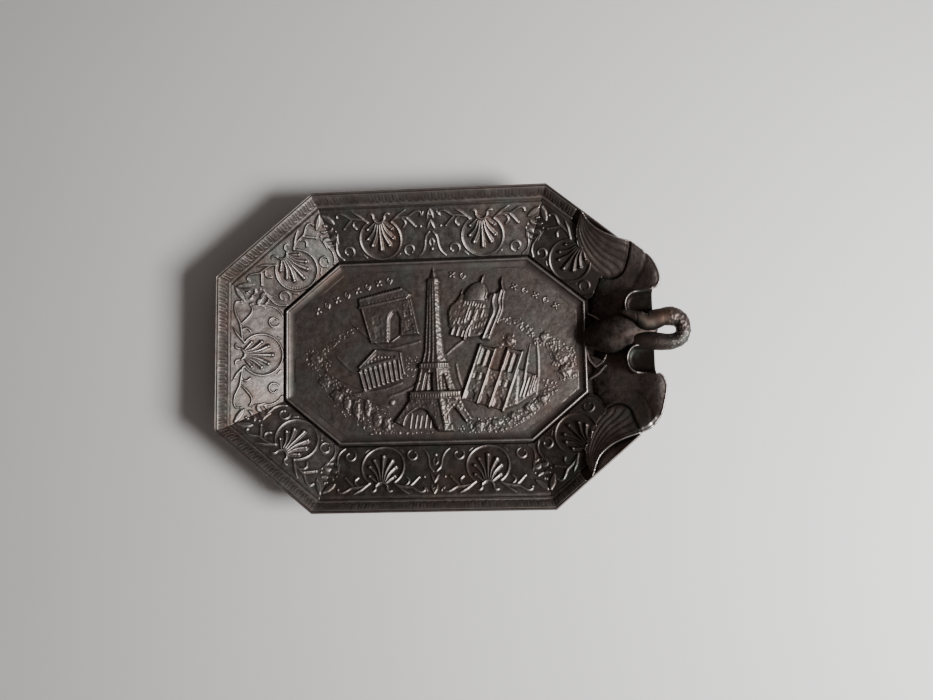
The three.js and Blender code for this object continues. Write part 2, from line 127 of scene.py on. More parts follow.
def resample(points, count):
    """Evenly spaced points along a row of points."""
    p = np.asarray(points, float)
    walked = np.concatenate([[0], np.cumsum(np.linalg.norm(np.diff(p, axis=0), axis=1))])
    at = np.linspace(0, walked[-1], count)
    return np.stack([np.interp(at, walked, p[:, axis]) for axis in range(p.shape[1])], -1)


def arc(centre, radius, start, end):
    """An arc as a row of points, from one angle in degrees to another."""
    angle = np.radians(np.linspace(start, end, 24))
    return np.stack([centre[0] + radius * np.cos(angle), centre[1] + radius * np.sin(angle)], -1)


def blurred(field, cells):
    """The field averaged over a square of 2 * cells + 1, twice over."""
    for axis in (0, 1, 0, 1):
        pad = [(cells + 1, cells) if axis == a else (0, 0) for a in (0, 1)]
        total = np.cumsum(np.pad(field, pad, mode="edge"), axis=axis)
        width = 2 * cells + 1
        high = np.take(total, range(width, total.shape[axis]), axis=axis)
        low = np.take(total, range(total.shape[axis] - width), axis=axis)
        field = (high - low) / width
    return field


def beside_edge(a, b, u, v):
    """The share of the way along an edge of its nearest point, and the distance to that point."""
    edge = b - a
    share = np.clip(((u - a[0]) * edge[0] + (v - a[1]) * edge[1]) / (edge @ edge + 1e-12), 0, 1)
    return share, np.hypot(u - a[0] - share * edge[0], v - a[1] - share * edge[1])


def nearest(line, u, v):
    """Distance to a row of points."""
    apart = np.full(u.shape, np.inf)
    for a, b in zip(line[:-1], line[1:]):
        apart = np.minimum(apart, beside_edge(a, b, u, v)[1])
    return apart


def on_plane(u, v):
    """Grid points at height 0."""
    return np.stack([u, v, 0 * u], -1)


def signed_distance(outline, u, v):
    """Distance to a closed outline, positive inside it."""
    closed = np.vstack([outline, outline[:1]]).astype(float)
    inside = np.zeros(u.shape, bool)
    for a, b in zip(closed[:-1], closed[1:]):
        if a[1] != b[1]:
            crosses = (a[1] > v) != (b[1] > v)
            inside ^= crosses & (u < (b - a)[0] * (v - a[1]) / (b - a)[1] + a[0])
    apart = nearest(closed, u, v)
    return np.where(inside, apart, -apart)


class Relief:
    """A height map over a flat patch, drawn on in layers."""

    def __init__(self, low, high, step):
        self.low = np.array(low, float)
        self.step = step
        self.columns, self.rows = (int(round((high[a] - low[a]) / step)) + 1 for a in (0, 1))
        self.height = np.zeros((self.rows, self.columns))

    def blank(self):
        """An empty layer of the same size."""
        layer = Relief.__new__(Relief)
        layer.low, layer.step = self.low, self.step
        layer.columns, layer.rows = self.columns, self.rows
        layer.height = np.zeros_like(self.height)
        return layer

    def axes(self):
        u = self.low[0] + np.arange(self.columns) * self.step
        v = self.low[1] + np.arange(self.rows) * self.step
        return np.meshgrid(u, v)

    def window(self, points, reach):
        """The part of the map near some points: its slices, and u and v over it."""
        points = np.asarray(points, float)
        first = np.maximum(np.floor((points.min(0) - reach - self.low) / self.step).astype(int), 0)
        last = np.ceil((points.max(0) + reach - self.low) / self.step).astype(int) + 1
        last = np.maximum(np.minimum(last, [self.columns, self.rows]), first)
        u = self.low[0] + np.arange(first[0], last[0]) * self.step
        v = self.low[1] + np.arange(first[1], last[1]) * self.step
        return (slice(first[1], last[1]), slice(first[0], last[0])), *np.meshgrid(u, v)

    def stroke(self, points, width, height):
        """A rounded ridge along a row of points. Width is its half width, one or several."""
        points = np.asarray(points, float)
        along = np.linspace(0, 1, np.size(width))
        widths = np.interp(np.linspace(0, 1, len(points)), along, np.ravel(width))
        for a, b, wa, wb in zip(points[:-1], points[1:], widths[:-1], widths[1:]):
            part, u, v = self.window([a, b], max(wa, wb))
            if not u.size:
                continue
            share, apart = beside_edge(a, b, u, v)
            local = wa + (wb - wa) * share
            rise = height * np.sqrt(np.clip(1 - (apart / local) ** 2, 0, 1)) * np.minimum(1, local / 0.3)
            self.height[part] = np.maximum(self.height[part], rise)

    def curve(self, points, width, height):
        """A stroke along a curve through the points."""
        self.stroke(smooth(points), width, height)

    def ball(self, centre, radius, height):
        self.stroke([centre, np.add(centre, (0.01, 0))], radius, height)

    def fill(self, outline, height, bevel=0.2):
        """A raised shape with bevelled sides. The height may be a function of u and v."""
        part, u, v = self.window(outline, 0)
        if not u.size:
            return
        level = height(u, v) if callable(height) else height
        rise = level * smoothstep(signed_distance(outline, u, v) / bevel + 0.15)
        rise[signed_distance(outline, u, v) < -0.15 * bevel] = 0
        self.height[part] = np.maximum(self.height[part], rise)

    def cut(self, *shapes):
        """Sinks shapes, each given as an outline, a depth and a bevel."""
        sunk = self.blank()
        for outline, depth, bevel in shapes:
            sunk.fill(outline, depth, bevel)
        self.height -= sunk.height

    def roughen(self, above, *patches):
        """Scatters beads over what stands above a height, in patches given as for scatter."""
        beads = self.blank()
        for patch in patches:
            beads.scatter(*patch)
        self.height += beads.height * (self.height > above)

    def scatter(self, outline, count, size, height, seed):
        """Small beads all over an outline, as leaves are shown in cast relief."""
        rng = np.random.default_rng(seed)
        outline = np.array(outline, float)
        spots = rng.uniform(outline.min(0), outline.max(0), (count * 4, 2))
        spots = spots[signed_distance(outline, spots[:, 0], spots[:, 1]) > 0][:count]
        for spot in spots:
            radius = size * rng.uniform(0.6, 1.35)
            self.ball(spot, radius, height * rng.uniform(0.55, 1.1))

    def at(self, u, v):
        """Heights at any points, read between the grid's own."""
        x = np.clip((u - self.low[0]) / self.step, 0, self.columns - 1.001)
        y = np.clip((v - self.low[1]) / self.step, 0, self.rows - 1.001)
        i, j = x.astype(int), y.astype(int)
        x, y = x - i, y - j
        h = self.height
        low = h[j, i] * (1 - x) + h[j, i + 1] * x
        high = h[j + 1, i] * (1 - x) + h[j + 1, i + 1] * x
        return low * (1 - y) + high * y


def wear_of(height, gain):
    """0 in hollows, 0.5 on the flat and 1 on what stands proud, where hands polish the metal."""
    return np.clip(0.5 + gain * (height - blurred(height, 4)), 0, 1)


# ------------------------------------------------------------------ meshes

def make_object(name, points, faces, wear_and_painted_light):
    """An object from points, arrays of faces of one size each, and a value of wear and painted light for
    each point.
    """
    mesh = bpy.data.meshes.new(name)
    mesh.vertices.add(len(points))
    mesh.vertices.foreach_set("co", (np.asarray(points) * MM).astype(np.float32).ravel())
    corners = np.concatenate([np.asarray(f).ravel() for f in faces]).astype(np.int32)
    sizes = np.concatenate([np.full(len(f), len(f[0])) for f in faces])
    mesh.loops.add(len(corners))
    mesh.loops.foreach_set("vertex_index", corners)
    mesh.polygons.add(len(sizes))
    mesh.polygons.foreach_set("loop_start", np.concatenate([[0], np.cumsum(sizes)[:-1]]).astype(np.int32))
    mesh.update(calc_edges=True)
    mesh.validate()
    layer = mesh.attributes.new("wear_and_painted_light", "FLOAT", "POINT")
    layer.data.foreach_set("value", np.asarray(wear_and_painted_light, np.float32).ravel())
    obj = bpy.data.objects.new(name, mesh)
    bpy.context.scene.collection.objects.link(obj)
    return obj


def chained(starts, ends):
    """Closed loops from directed edges."""
    follow = {}
    for a, b in zip(starts.tolist(), ends.tolist()):
        follow.setdefault(a, []).append(b)
    loops = []
    while follow:
        first = next(iter(follow))
        loop, here = [], first
        while here in follow:
            loop.append(here)
            onward = follow[here].pop()
            if not follow[here]:
                del follow[here]
            here = onward
        if len(loop) > 2:
            loops.append(loop)
    return loops


def solid_from_grid(name, top, wear_and_painted_light, sink, keep, flat_base=True):
    """A closed body: the kept cells of a grid of points, walls down to where sink moves them, and a base.

    A flat base is one face. Otherwise every point of the grid is moved by sink to make the base.
    """
    rows, columns = top.shape[:2]
    number = np.arange(rows * columns).reshape(rows, columns)
    corner = [number[:-1, :-1], number[:-1, 1:], number[1:, 1:], number[1:, :-1]]
    quads = np.stack([c[keep] for c in corner], -1)
    fenced = np.pad(keep, 1)
    beyond = [fenced[:-2, 1:-1], fenced[1:-1, 2:], fenced[2:, 1:-1], fenced[1:-1, :-2]]
    starts = np.concatenate([corner[i][keep & ~beyond[i]] for i in range(4)])
    ends = np.concatenate([corner[(i + 1) % 4][keep & ~beyond[i]] for i in range(4)])
    used, quads = np.unique(quads, return_inverse=True)
    quads = quads.reshape(-1, 4)
    rim = np.unique(starts) if flat_base else used
    above, below = np.zeros(rows * columns, int), np.zeros(rows * columns, int)
    above[used] = np.arange(len(used))
    below[rim] = len(used) + np.arange(len(rim))
    points = np.vstack([top.reshape(-1, 3)[used], sink(top.reshape(-1, 3)[rim])])
    faces = [quads, np.stack([above[ends], above[starts], below[starts], below[ends]], -1)]
    if flat_base:
        faces += [np.array([loop[::-1]]) for loop in chained(below[starts], below[ends])]
    else:
        faces.append(quads[:, ::-1] + len(used))
    return make_object(name, points, faces, np.concatenate([wear_and_painted_light.ravel()[used], np.full(len(rim), 0.4)]))


def loft(name, grid, wear_and_painted_light, wrap_rows=False, cap_ends=False):
    """A skin over rows of points, each row a closed loop. The first and last rows join, or are capped."""
    rows, columns = grid.shape[:2]
    number = np.arange(rows * columns).reshape(rows, columns)
    if wrap_rows:
        number = np.vstack([number, number[:1]])
    beside = np.roll(number, -1, axis=1)
    faces = [np.stack([number[:-1], beside[:-1], beside[1:], number[1:]], -1).reshape(-1, 4)]
    if cap_ends:
        faces += [number[:1, ::-1], number[-1:]]
    obj = make_object(name, grid.reshape(-1, 3), faces, wear_and_painted_light)
    if volume_of(obj) < 0:
        obj.data.flip_normals()
    return obj


def volume_of(obj):
    mesh = obj.data
    mesh.calc_loop_triangles()
    corner = np.zeros(len(mesh.loop_triangles) * 3, np.int32)
    mesh.loop_triangles.foreach_get("vertices", corner)
    place = np.zeros(len(mesh.vertices) * 3, np.float32)
    mesh.vertices.foreach_get("co", place)
    a, b, c = place.reshape(-1, 3).astype(float)[corner.reshape(-1, 3)].transpose(1, 0, 2)
    return float(np.sum(a * np.cross(b, c)))


def place_piece(obj, nodes, material):
    """Gives a piece its finish, attaches it to the root body, and hides the CAD parts that it stands for.
    """
    obj.data.materials.clear()
    obj.data.materials.append(material)
    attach(obj, "root")
    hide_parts(*nodes)
    return obj


# ------------------------------------------------------------------ the octagon

def octagon(share):
    """The eight corners at one share of the way from crest to rim."""
    length, width, cut = CREST + (RIM - CREST) * share
    rise = cut * CORNER_RATIO
    return np.array([
        (length, width - rise), (length - cut, width), (cut - length, width), (-length, width - rise),
        (-length, rise - width), (cut - length, -width), (length - cut, -width), (length, rise - width)])


def share_at(x, y, blend=0.0):
    """Share of the way from crest to rim at a point in plan. A blend rounds the mitres off."""
    inner, outer = octagon(0), octagon(1)
    shares = []
    for side in range(8):
        along = outer[(side + 1) % 8] - outer[side]
        normal = np.array([along[1], -along[0]]) / np.linalg.norm(along)
        start, end = normal @ inner[side], normal @ outer[side]
        shares.append((normal[0] * x + normal[1] * y - start) / (end - start))
    largest = np.max(shares, axis=0)
    if blend:
        largest = largest + blend * np.log(np.sum(np.exp((shares - largest) / blend), axis=0))
    return largest


def bed_height(x, y):
    return np.interp(np.minimum(share_at(x, y), 0.955), BED[:, 0], BED[:, 1])


def swept_octagon(section, stations, sides=range(8), reach=(0, 1)):
    """A section carried along some sides. Rows are stations, and columns the points of the section."""
    corners = np.array([octagon(share) for share, _ in section])
    rows = []
    for order, side in enumerate(sides):
        start = reach[0] if order == 0 else 0
        end = reach[1] if order == len(sides) - 1 else 1
        for t in np.linspace(start, end, max(2, int(stations * (end - start))), endpoint=False):
            plan = corners[:, side] * (1 - t) + corners[:, (side + 1) % 8] * t
            rows.append(np.column_stack([plan, section[:, 1]]))
    return np.array(rows)


def facet_of(side):
    """Frame of the sloping facet on one side: u along it, v up the slope, n out of the metal."""
    ends = []
    for share, height in (FRIEZE_FOOT, FRIEZE_HEAD):
        corners = octagon(share)
        ends.append([np.append(corners[side], height), np.append(corners[(side + 1) % 8], height)])
    (foot_a, foot_b), (head_a, head_b) = ends
    origin = (foot_a + foot_b) / 2
    u = (foot_a - foot_b) / np.linalg.norm(foot_a - foot_b)
    n = np.cross(u, head_a - origin)
    n /= np.linalg.norm(n)
    v = np.cross(n, u)
    foot, head = np.linalg.norm(foot_a - foot_b) / 2, np.linalg.norm(head_a - head_b) / 2
    return {"origin": origin, "u": u, "v": v, "n": n, "foot": foot, "head": head,
            "length": (head_a - origin) @ v}


# ------------------------------------------------------------------ dish, frame and moulding

def make_dish():
    """The tray itself. Its +X end is cut down to the flat step that the swan stands on."""
    section = np.vstack([smooth(DISH_SECTION[:14], 3), DISH_SECTION[14:]])
    section[:, 1] = np.maximum(section[:, 1], 0)
    cut = section.copy()
    high = section[:, 1] > DECK_HEIGHT
    cut[high] = np.column_stack([np.clip(section[high, 0], *DECK_SHARES), np.full(high.sum(), DECK_HEIGHT)])
    grid = swept_octagon(section, 44)
    wobble = noise(grid * (1, 1, 0), 9, 3) * 0.06 + noise(grid, 1.6, 4) * 0.02
    grid[..., 2] += wobble * (grid[..., 2] > 1)
    grid = np.where(grid[..., :1] > RIM_END_X, swept_octagon(cut, 44), grid).transpose(1, 0, 2)
    order = np.arange(len(section)) / len(section)
    wear_and_painted_light = np.interp(order, [0, 0.45, 0.62, 1], [0.45, 0.6, 0.65, 0.2])[:, None] + noise(grid, 2.0, 5) * 0.1
    return loft("tray_dish", grid, np.clip(wear_and_painted_light, 0, 1), cap_ends=True)


def make_plaque_frame():
    section = np.vstack([smooth(FRAME_SECTION[:11], 4), FRAME_SECTION[11:]])
    grid = swept_octagon(section, 60)
    grid[..., 2] += noise(grid * (1, 1, 0), 5, 11) * 0.07 * (grid[..., 2] > 2.3)
    polish = np.interp(grid[..., 2], [2.0, 2.5, 3.1, 3.5, 3.75], [0.3, 0.42, 0.45, 0.65, 0.95])
    wear_and_painted_light = polish + noise(grid, 1.2, 12) * 0.08
    return loft("plaque_frame_ridge", grid, np.clip(wear_and_painted_light, 0, 1), wrap_rows=True)


# The moulding's section is resampled to this many points, and these are places along it.
MOULDING_POINTS = 34
TONGUE_FOOT, TONGUE_LOW, TONGUE_HIGH = 8, 12, 24
TONGUE_HALF_WIDTH = 0.62
TONGUE_BEND = 1.5                       # up to here the tongue is round, and beyond it straight
TONGUE_TOP = 3.9


def make_rim_moulding():
    """A fillet, and a row of tongues that slope up to the lip."""
    section = np.vstack([resample(smooth(MOULDING_SECTION[:11], 4), MOULDING_POINTS),
                         MOULDING_SECTION[11:]])
    grid = swept_octagon(section, 170, range(7), (1 - MOULDING_REACH, MOULDING_REACH))
    steps = np.linalg.norm(np.diff(grid[:, 16], axis=0), axis=1)
    walked = np.concatenate([[0], np.cumsum(steps)])
    outward = grid[:, TONGUE_HIGH] - grid[:, TONGUE_LOW]
    inward_up = np.stack([-outward[:, 0] * outward[:, 2], -outward[:, 1] * outward[:, 2],
                          outward[:, 0] ** 2 + outward[:, 1] ** 2], -1)
    inward_up /= np.linalg.norm(inward_up, axis=1, keepdims=True)
    order = np.arange(len(section))
    up_slope = np.linalg.norm(grid[0] - grid[0, TONGUE_FOOT], axis=1) * np.sign(order - TONGUE_FOOT)
    phase = np.abs((walked / TONGUE_PITCH) % 1 - 0.5) * TONGUE_PITCH
    across = np.broadcast_to(phase[:, None], grid.shape[:2])
    along = np.broadcast_to(up_slope[None], grid.shape[:2])
    window = smoothstep((along - 0.4) / 0.4) * smoothstep((TONGUE_TOP - along) / 0.5)
    round_end = np.abs(np.hypot(across, TONGUE_BEND - along) - TONGUE_HALF_WIDTH)
    outline = np.where(along > TONGUE_BEND, np.abs(across - TONGUE_HALF_WIDTH), round_end)
    relief = 0.26 * np.exp(-(outline / 0.17) ** 2) + 0.07 * np.exp(-(across / 0.16) ** 2) * (along > 1.2)
    fillet = np.exp(-((along + 0.3) / 0.25) ** 2)
    relief = relief * window + 0.22 * fillet
    relief *= (0.8 + 0.4 * noise(grid * (1, 1, 0), 4, 21))
    visible = order < MOULDING_POINTS - 1
    grid += inward_up[:, None] * (relief * visible + noise(grid, 1.1, 22) * 0.03 * visible)[..., None]
    flat = np.interp(order, [0, 4, 8, 12, 30, 33, 36], [0.05, 0.7, 0.75, 0.3, 0.6, 0.8, 0.5])
    # Painted light: the long sides are painted brighter and the left end darker, to stand in for how the
    # light falls on them.
    painted_side_light = 0.17 * smoothstep((np.abs(grid[..., 1]) - 36) / 4)
    painted_side_light -= 0.1 * smoothstep((-grid[..., 0] - 50) / 6)
    wear_and_painted_light = flat[None] + (relief - 0.03) * 1.5 + 0.4 * fillet + noise(grid, 1.5, 23) * 0.12 + painted_side_light
    return loft("rim_moulding_tongues", grid, np.clip(wear_and_painted_light, 0, 1), cap_ends=True)


# ------------------------------------------------------------------ frieze

# The right half of one roundel, as drawn from its middle: the left half mirrors it.
LOBES = [
    [(0, 12.4), (0, 8), (0, 4.1)],
    [(0.45, 12.4), (1.15, 8.8), (2.7, 5.4)],
    [(0.95, 12.4), (2.0, 9.7), (3.9, 7.5)],
    [(1.45, 12.5), (2.7, 11.4), (3.75, 10.5)],
]
ROOT = [(0, 12.45), (0.8, 12.7), (1.7, 13.6)]
ROOT_VOLUTE = [(1.75, 13.6), (1.8, 14.7), (2.5, 15.3), (3.2, 15.1)]
UPPER_LEAF = [(4.2, 13.2), (6.2, 14.8), (8.3, 16.1)]
HOOK = [(6.9, 13.5), (7.9, 12.8), (8.1, 11.8), (7.3, 10.8)]
SHORT_VINE = [(3.7, 12.7), (4.5, 13.3), (6.8, 13.9), (9.0, 14.1), (10.6, 15.1), (11.8, 15.6), (12.9, 15.3),
              (13.1, 14.5)]
SHORT_LEAF = [(8.3, 13.9), (9.7, 12.5), (11.1, 10.9)]
LONG_VINE = [(3.7, 12.7), (4.5, 13.2), (6.8, 13.5), (9.6, 14.0), (12.5, 15.3), (14.8, 15.6), (16.2, 15.0),
             (16.3, 13.6)]
LONG_LEAF = [(9.6, 13.4), (11.2, 11.8), (12.8, 10.6), (14.2, 10.3), (15.6, 10.9)]
DART = [(4.7, 1.5), (5.8, 2.5)]
RING_CENTRE_V = 7.3
RING_RADIUS = 6.4

# Ornament beside a mitre, as (distance from the mitre, height) with half widths and a rise.
MITRE_LEAVES = [
    ([(3.0, 12.7), (1.9, 13.8), (0.5, 15.3)], [0.3, 0.9, 1.0, 0.45], 0.42),
    ([(1.9, 11.2), (1.1, 10.5), (0.1, 10.2)], [0.25, 0.52, 0.3], 0.36),
    ([(2.4, 8.4), (1.2, 8.3), (0.0, 7.4)], [0.3, 0.75, 0.8, 0.35], 0.38),
    ([(1.5, 6.6), (0.9, 6.2), (0.0, 5.7)], [0.2, 0.5, 0.3], 0.32),
]
MITRE_STEMS = [
    ([(1.9, 7.9), (1.35, 6.0), (0.75, 4.2), (0.9, 2.4), (1.9, 1.1)], [0.22, 0.3, 0.24], 0.38),
    ([(2.9, 9.4), (2.2, 7.6), (2.0, 6.2)], [0.16, 0.28, 0.16], 0.34),
]
MITRE_BEADS = [((0.25, 12.0), 0.42, 0.34), ((2.6, 10.2), 0.3, 0.3)]

# The right half of the small ornament between the two roundels of a long side.
MIDDLE_LEAVES = [
    ([(0.0, 16.2), (0.6, 14.8), (0.9, 13.3)], [0.2, 0.4, 0.18], 0.42),
    ([(0.0, 12.7), (0.5, 11.6), (1.1, 10.2)], [0.2, 0.38, 0.2], 0.4),
    ([(0.5, 9.1), (1.5, 7.9), (1.9, 6.6)], [0.2, 0.36, 0.24], 0.4),
    ([(1.9, 6.4), (2.2, 4.4), (3.0, 2.7), (4.2, 1.5)], [0.24, 0.3, 0.2], 0.4),
    ([(2.1, 15.4), (2.5, 14.5), (3.2, 14.1)], [0.2, 0.36, 0.18], 0.38),
    ([(0.2, 6.9), (0.7, 6.0), (0.4, 4.8)], [0.22, 0.32, 0.18], 0.3),
]


def mirrored(points, sign, centre=0.0):
    return [(centre + sign * u, v) for u, v in points]


def draw_roundel(relief, centre, long_vines):
    """The ring, its palmette of seven lobes, and the vines that spring from it to both sides."""
    vine, leaf = (LONG_VINE, LONG_LEAF) if long_vines else (SHORT_VINE, SHORT_LEAF)
    sprigs = (
        (ROOT, [0.42, 0.38, 0.26], 0.66), (ROOT_VOLUTE, [0.28, 0.34, 0.22], 0.42),
        (UPPER_LEAF, [0.26, 0.44, 0.14], 0.44), (HOOK, [0.2, 0.3, 0.38], 0.42),
        (vine, [0.3, 0.38, 0.42, 0.32, 0.26, 0.24], 0.44), (leaf, [0.24, 0.42, 0.34, 0.24], 0.44))
    dished = relief.blank()
    dished.ball((centre, RING_CENTRE_V), RING_RADIUS, 0.16)
    relief.height -= dished.height
    for sign in (-1, 1):
        ring = arc((0, RING_CENTRE_V), RING_RADIUS, 56, -90)
        relief.stroke(mirrored(ring, sign, centre), [0.34, 0.3, 0.28, 0.26], 0.42)
        for order, lobe in enumerate(LOBES):
            line = mirrored(lobe, sign, centre)
            relief.curve(line, [0.22, 0.3, 0.42, 0.56 - 0.1 * order], 0.62)
            relief.ball(line[-1], 0.62 - 0.03 * order, 0.8)
        for points, widths, rise in sprigs:
            relief.curve(mirrored(points, sign, centre), widths, rise)
        relief.ball(mirrored(vine, sign, centre)[-1], 0.38, 0.46)
        relief.ball(mirrored(leaf, sign, centre)[-1], 0.4, 0.46)
        relief.stroke(mirrored(DART, sign, centre), [0.2, 0.36, 0.2], 0.34)


def draw_scroll(relief, centre, sign):
    """A small open curl that winds inwards to a bead."""
    angle = np.radians(np.linspace(-75, 234.6, 40))
    size = 1.8 * np.linspace(1.0, 0.62, len(angle))
    line = np.stack([centre[0] + sign * size * np.cos(angle), centre[1] + size * np.sin(angle)], -1)
    relief.stroke(line, [0.16, 0.32, 0.3, 0.2], 0.4)
    relief.ball(line[-1], 0.34, 0.42)


def draw_mitre(relief, edge, sign):
    """Leaves with a groove down the middle, stems and beads beside the mitre between two facets."""
    def beside(points):
        return [(sign * (edge(v) - d), v) for d, v in points]
    for points, widths, rise in MITRE_LEAVES:
        line = smooth(beside(points))
        relief.stroke(line, widths, rise)
        groove = relief.blank()
        groove.stroke(line[len(line) // 6:-len(line) // 8], [0.18, 0.14], 0.14)
        relief.height -= groove.height
    for points, widths, rise in MITRE_STEMS:
        relief.curve(beside(points), widths, rise)
    for spot, radius, rise in MITRE_BEADS:
        relief.ball(beside([spot])[0], radius, rise)


def draw_middle(relief):
    """The small ornament between the two roundels of a long side."""
    for sign in (-1, 1):
        for points, widths, rise in MIDDLE_LEAVES:
            relief.curve(mirrored(points, sign), widths, rise)
        relief.ball((sign * 3.1, 10.8), 0.34, 0.34)
    relief.ball((0, 3.6), 0.5, 0.45)
    relief.ball((0, 14.4), 0.36, 0.45)


def facet_relief(facet, roundels):
    relief = Relief((-facet["head"] - 0.4, -0.4), (facet["head"] + 0.4, facet["length"] + 0.4), 0.1)

    def edge(v):
        return facet["foot"] + (facet["head"] - facet["foot"]) * v / facet["length"]
    paired = len(roundels) == 2
    roomy = not paired and facet["foot"] > 12
    if paired:
        draw_middle(relief)
    for centre in roundels:
        draw_roundel(relief, centre, long_vines=roomy)
        for sign in (-1, 1):
            if paired:
                reach = 8.9 if sign * centre < 0 else 10.3
            else:
                reach = 10.4 if roomy else 8.4
            draw_scroll(relief, (centre + sign * reach, 3.7), -sign)
    for sign in (-1, 1):
        draw_mitre(relief, edge, sign)
    return relief


def make_facet(name, side, roundels):
    """One sloping side of the dish, with its ornament raised on it."""
    facet = facet_of(side)
    relief = facet_relief(facet, roundels)
    rows = int(facet["length"] / FRIEZE_STEP)
    columns = int(2 * facet["head"] / FRIEZE_STEP)
    v = np.linspace(0, facet["length"], rows)[:, None]
    half = facet["foot"] + (facet["head"] - facet["foot"]) * v / facet["length"] + 0.05
    u = half * np.linspace(-1, 1, columns)[None]
    v = np.broadcast_to(v, u.shape)
    height = relief.at(u, v) * FRIEZE_RELIEF
    base = facet["origin"] + u[..., None] * facet["u"] + v[..., None] * facet["v"]
    casting = noise(base, 6, 31) * 0.06 + noise(base, 1.3, 32) * 0.02 + noise(base, 0.5, 33) * 0.01
    cove = -0.35 * smoothstep((v - 16.6) / 0.9) * smoothstep((facet["length"] + 0.2 - v) / 0.3)
    groove = -0.75 * (1 - smoothstep((v - 0.1) / 0.6))
    cover = np.max([wing_cover(base[..., 0], base[..., 1], sign) for sign in WINGS], axis=0)
    covered = smoothstep((cover - 1.0) / 0.8)
    height = height * (1 - covered) - SUNK_UNDER_WINGS * covered
    top = base + (height + casting + cove + groove)[..., None] * facet["n"]
    # Painted shade: the friezes are painted darker towards the swan, where its wings and the rim shade
    # them.
    painted_shade = smoothstep((base[..., 0] - PAINTED_SHADE_START_X) / PAINTED_SHADE_SPAN)
    wear_and_painted_light = (wear_of(height, 0.8) + 0.35 * (cove + groove)) * (1 - PAINTED_SHADE_STRENGTH * painted_shade)
    middle = (top[:-1, :-1] + top[1:, 1:]) / 2
    keep = middle[..., 0] < DECK_START_X - 0.3

    def sink(points):
        return points - (FRIEZE_THICKNESS + (points - facet["origin"]) @ facet["n"])[:, None] * facet["n"]
    return solid_from_grid(name, top, wear_and_painted_light, sink, keep)


# ------------------------------------------------------------------ plaque

class Slanted:
    """Places points given as shares along two slanting edges, as in the oblique views of the buildings."""

    def __init__(self, origin, along, up):
        self.origin, self.along, self.up = (np.array(p, float) for p in (origin, along, up))

    def __call__(self, *points):
        return [self.origin + a * self.along + b * self.up for a, b in points]

    def box(self, a0, b0, a1, b1):
        return self((a0, b0), (a1, b0), (a1, b1), (a0, b1))


RIB_HEIGHT = 0.42


def wedge(layer, rows, step=0.35, ribs=(), lattice=0.0, pitch=1.2):
    """A body with a raised corner between two faces.

    Each row gives y, the left edge, the corner, the right edge and the height there.
    """
    rows = np.array(sorted(rows), float)
    spread = np.vstack([rows[:, [1, 0]], rows[:, [3, 0]]])
    part, u, v = layer.window(spread, 0)
    left, corner, right, rise = (np.interp(v, rows[:, 0], rows[:, i]) for i in (1, 2, 3, 4))
    on_left = u < corner
    share = np.where(on_left, (u - left) / (corner - left), (right - u) / (right - corner))
    inside = (share > 0) & (v >= rows[0, 0]) & (v <= rows[-1, 0])
    height = rise * (step + (1 - step) * np.clip(share, 0, 1))
    for rib in ribs:
        height += RIB_HEIGHT * np.exp(-(np.abs(share - rib) * (corner - left) / 0.2) ** 2) * on_left
    if lattice:
        across = np.where(on_left, corner - u, u - corner)
        cross = [np.abs(((across * 1.1 + sign * v) / pitch) % 1 - 0.5) for sign in (-1, 1)]
        braces = np.maximum(*[np.clip(1 - c / 0.2, 0, 1) for c in cross])
        grains = noise(on_plane(u, v), 0.42, 49)
        shaded = 0.45 * lattice * (braces - 0.5)
        lit = 0.3 * lattice * braces + 0.9 * lattice * grains
        height += np.where(on_left, shaded, lit)
    layer.height[part] = np.maximum(layer.height[part], height * inside)


LEAF_SIZE = 0.3
LEAF_HEIGHT = 0.36


def tree(layer, centre, radii, height, seed):
    """A crown, broken up into leaves."""
    turn = np.linspace(0, 2 * math.pi, 14, endpoint=False)
    wobble = np.random.default_rng(seed).uniform(0.85, 1.1, len(turn))
    across, up = radii[0] * wobble * np.cos(turn), radii[1] * wobble * np.sin(turn)
    outline = np.stack([centre[0] + across, centre[1] + up], -1)

    def crown(u, v):
        apart = ((u - centre[0]) / radii[0]) ** 2 + ((v - centre[1]) / radii[1]) ** 2
        return height * (0.45 + 0.4 * np.sqrt(np.clip(1 - apart, 0, 1)))
    layer.fill(outline, crown, 0.5)
    leaves = layer.blank()
    leaves.scatter(outline, int(9 * radii[0] * radii[1]), 0.28, 0.34, seed + 1)
    layer.height += leaves.height


def row_of(count, start, end):
    """Evenly spaced points from start to end."""
    return [np.array(start) + (np.array(end) - start) * t for t in np.linspace(0, 1, count)]


# Rows of the tower's bodies: height on the plaque, left edge, corner, right edge and rise.
SHAFT = [[-5.0, -4.3, 1.1, 4.1, 2.5], [0, -3.05, 0.9, 2.85, 2.3], [5, -2.75, 0.8, 2.4, 2.15],
         [10, -2.45, 0.7, 2.05, 2.0], [15, -2.2, 0.6, 1.85, 1.85], [20, -1.95, 0.5, 1.65, 1.7],
         [21.6, -1.85, 0.45, 1.5, 1.6]]
STAGE = [[-12.8, -7.0, 1.9, 6.8, 2.7], [-9, -5.6, 1.5, 5.3, 2.6], [-5, -4.6, 1.2, 4.3, 2.5]]
FRONT_LEG = [[-24.8, 0.8, 3.3, 5.8, 2.6], [-20, -0.4, 2.6, 4.7, 2.9], [-14.6, -1.6, 1.9, 4.2, 3.0]]
LOWER_DECK = [[-14.9, -8.0, 1.9, 8.1, 3.1], [-12.5, -7.8, 1.9, 7.9, 3.15]]
UPPER_DECK = [[-5.4, -5.0, 1.1, 4.7, 2.9], [-3.7, -4.6, 1.1, 4.4, 2.95]]
CABIN = [[21.5, -2.0, 0.5, 1.9, 2.0], [22.8, -1.5, 0.5, 1.5, 1.9]]
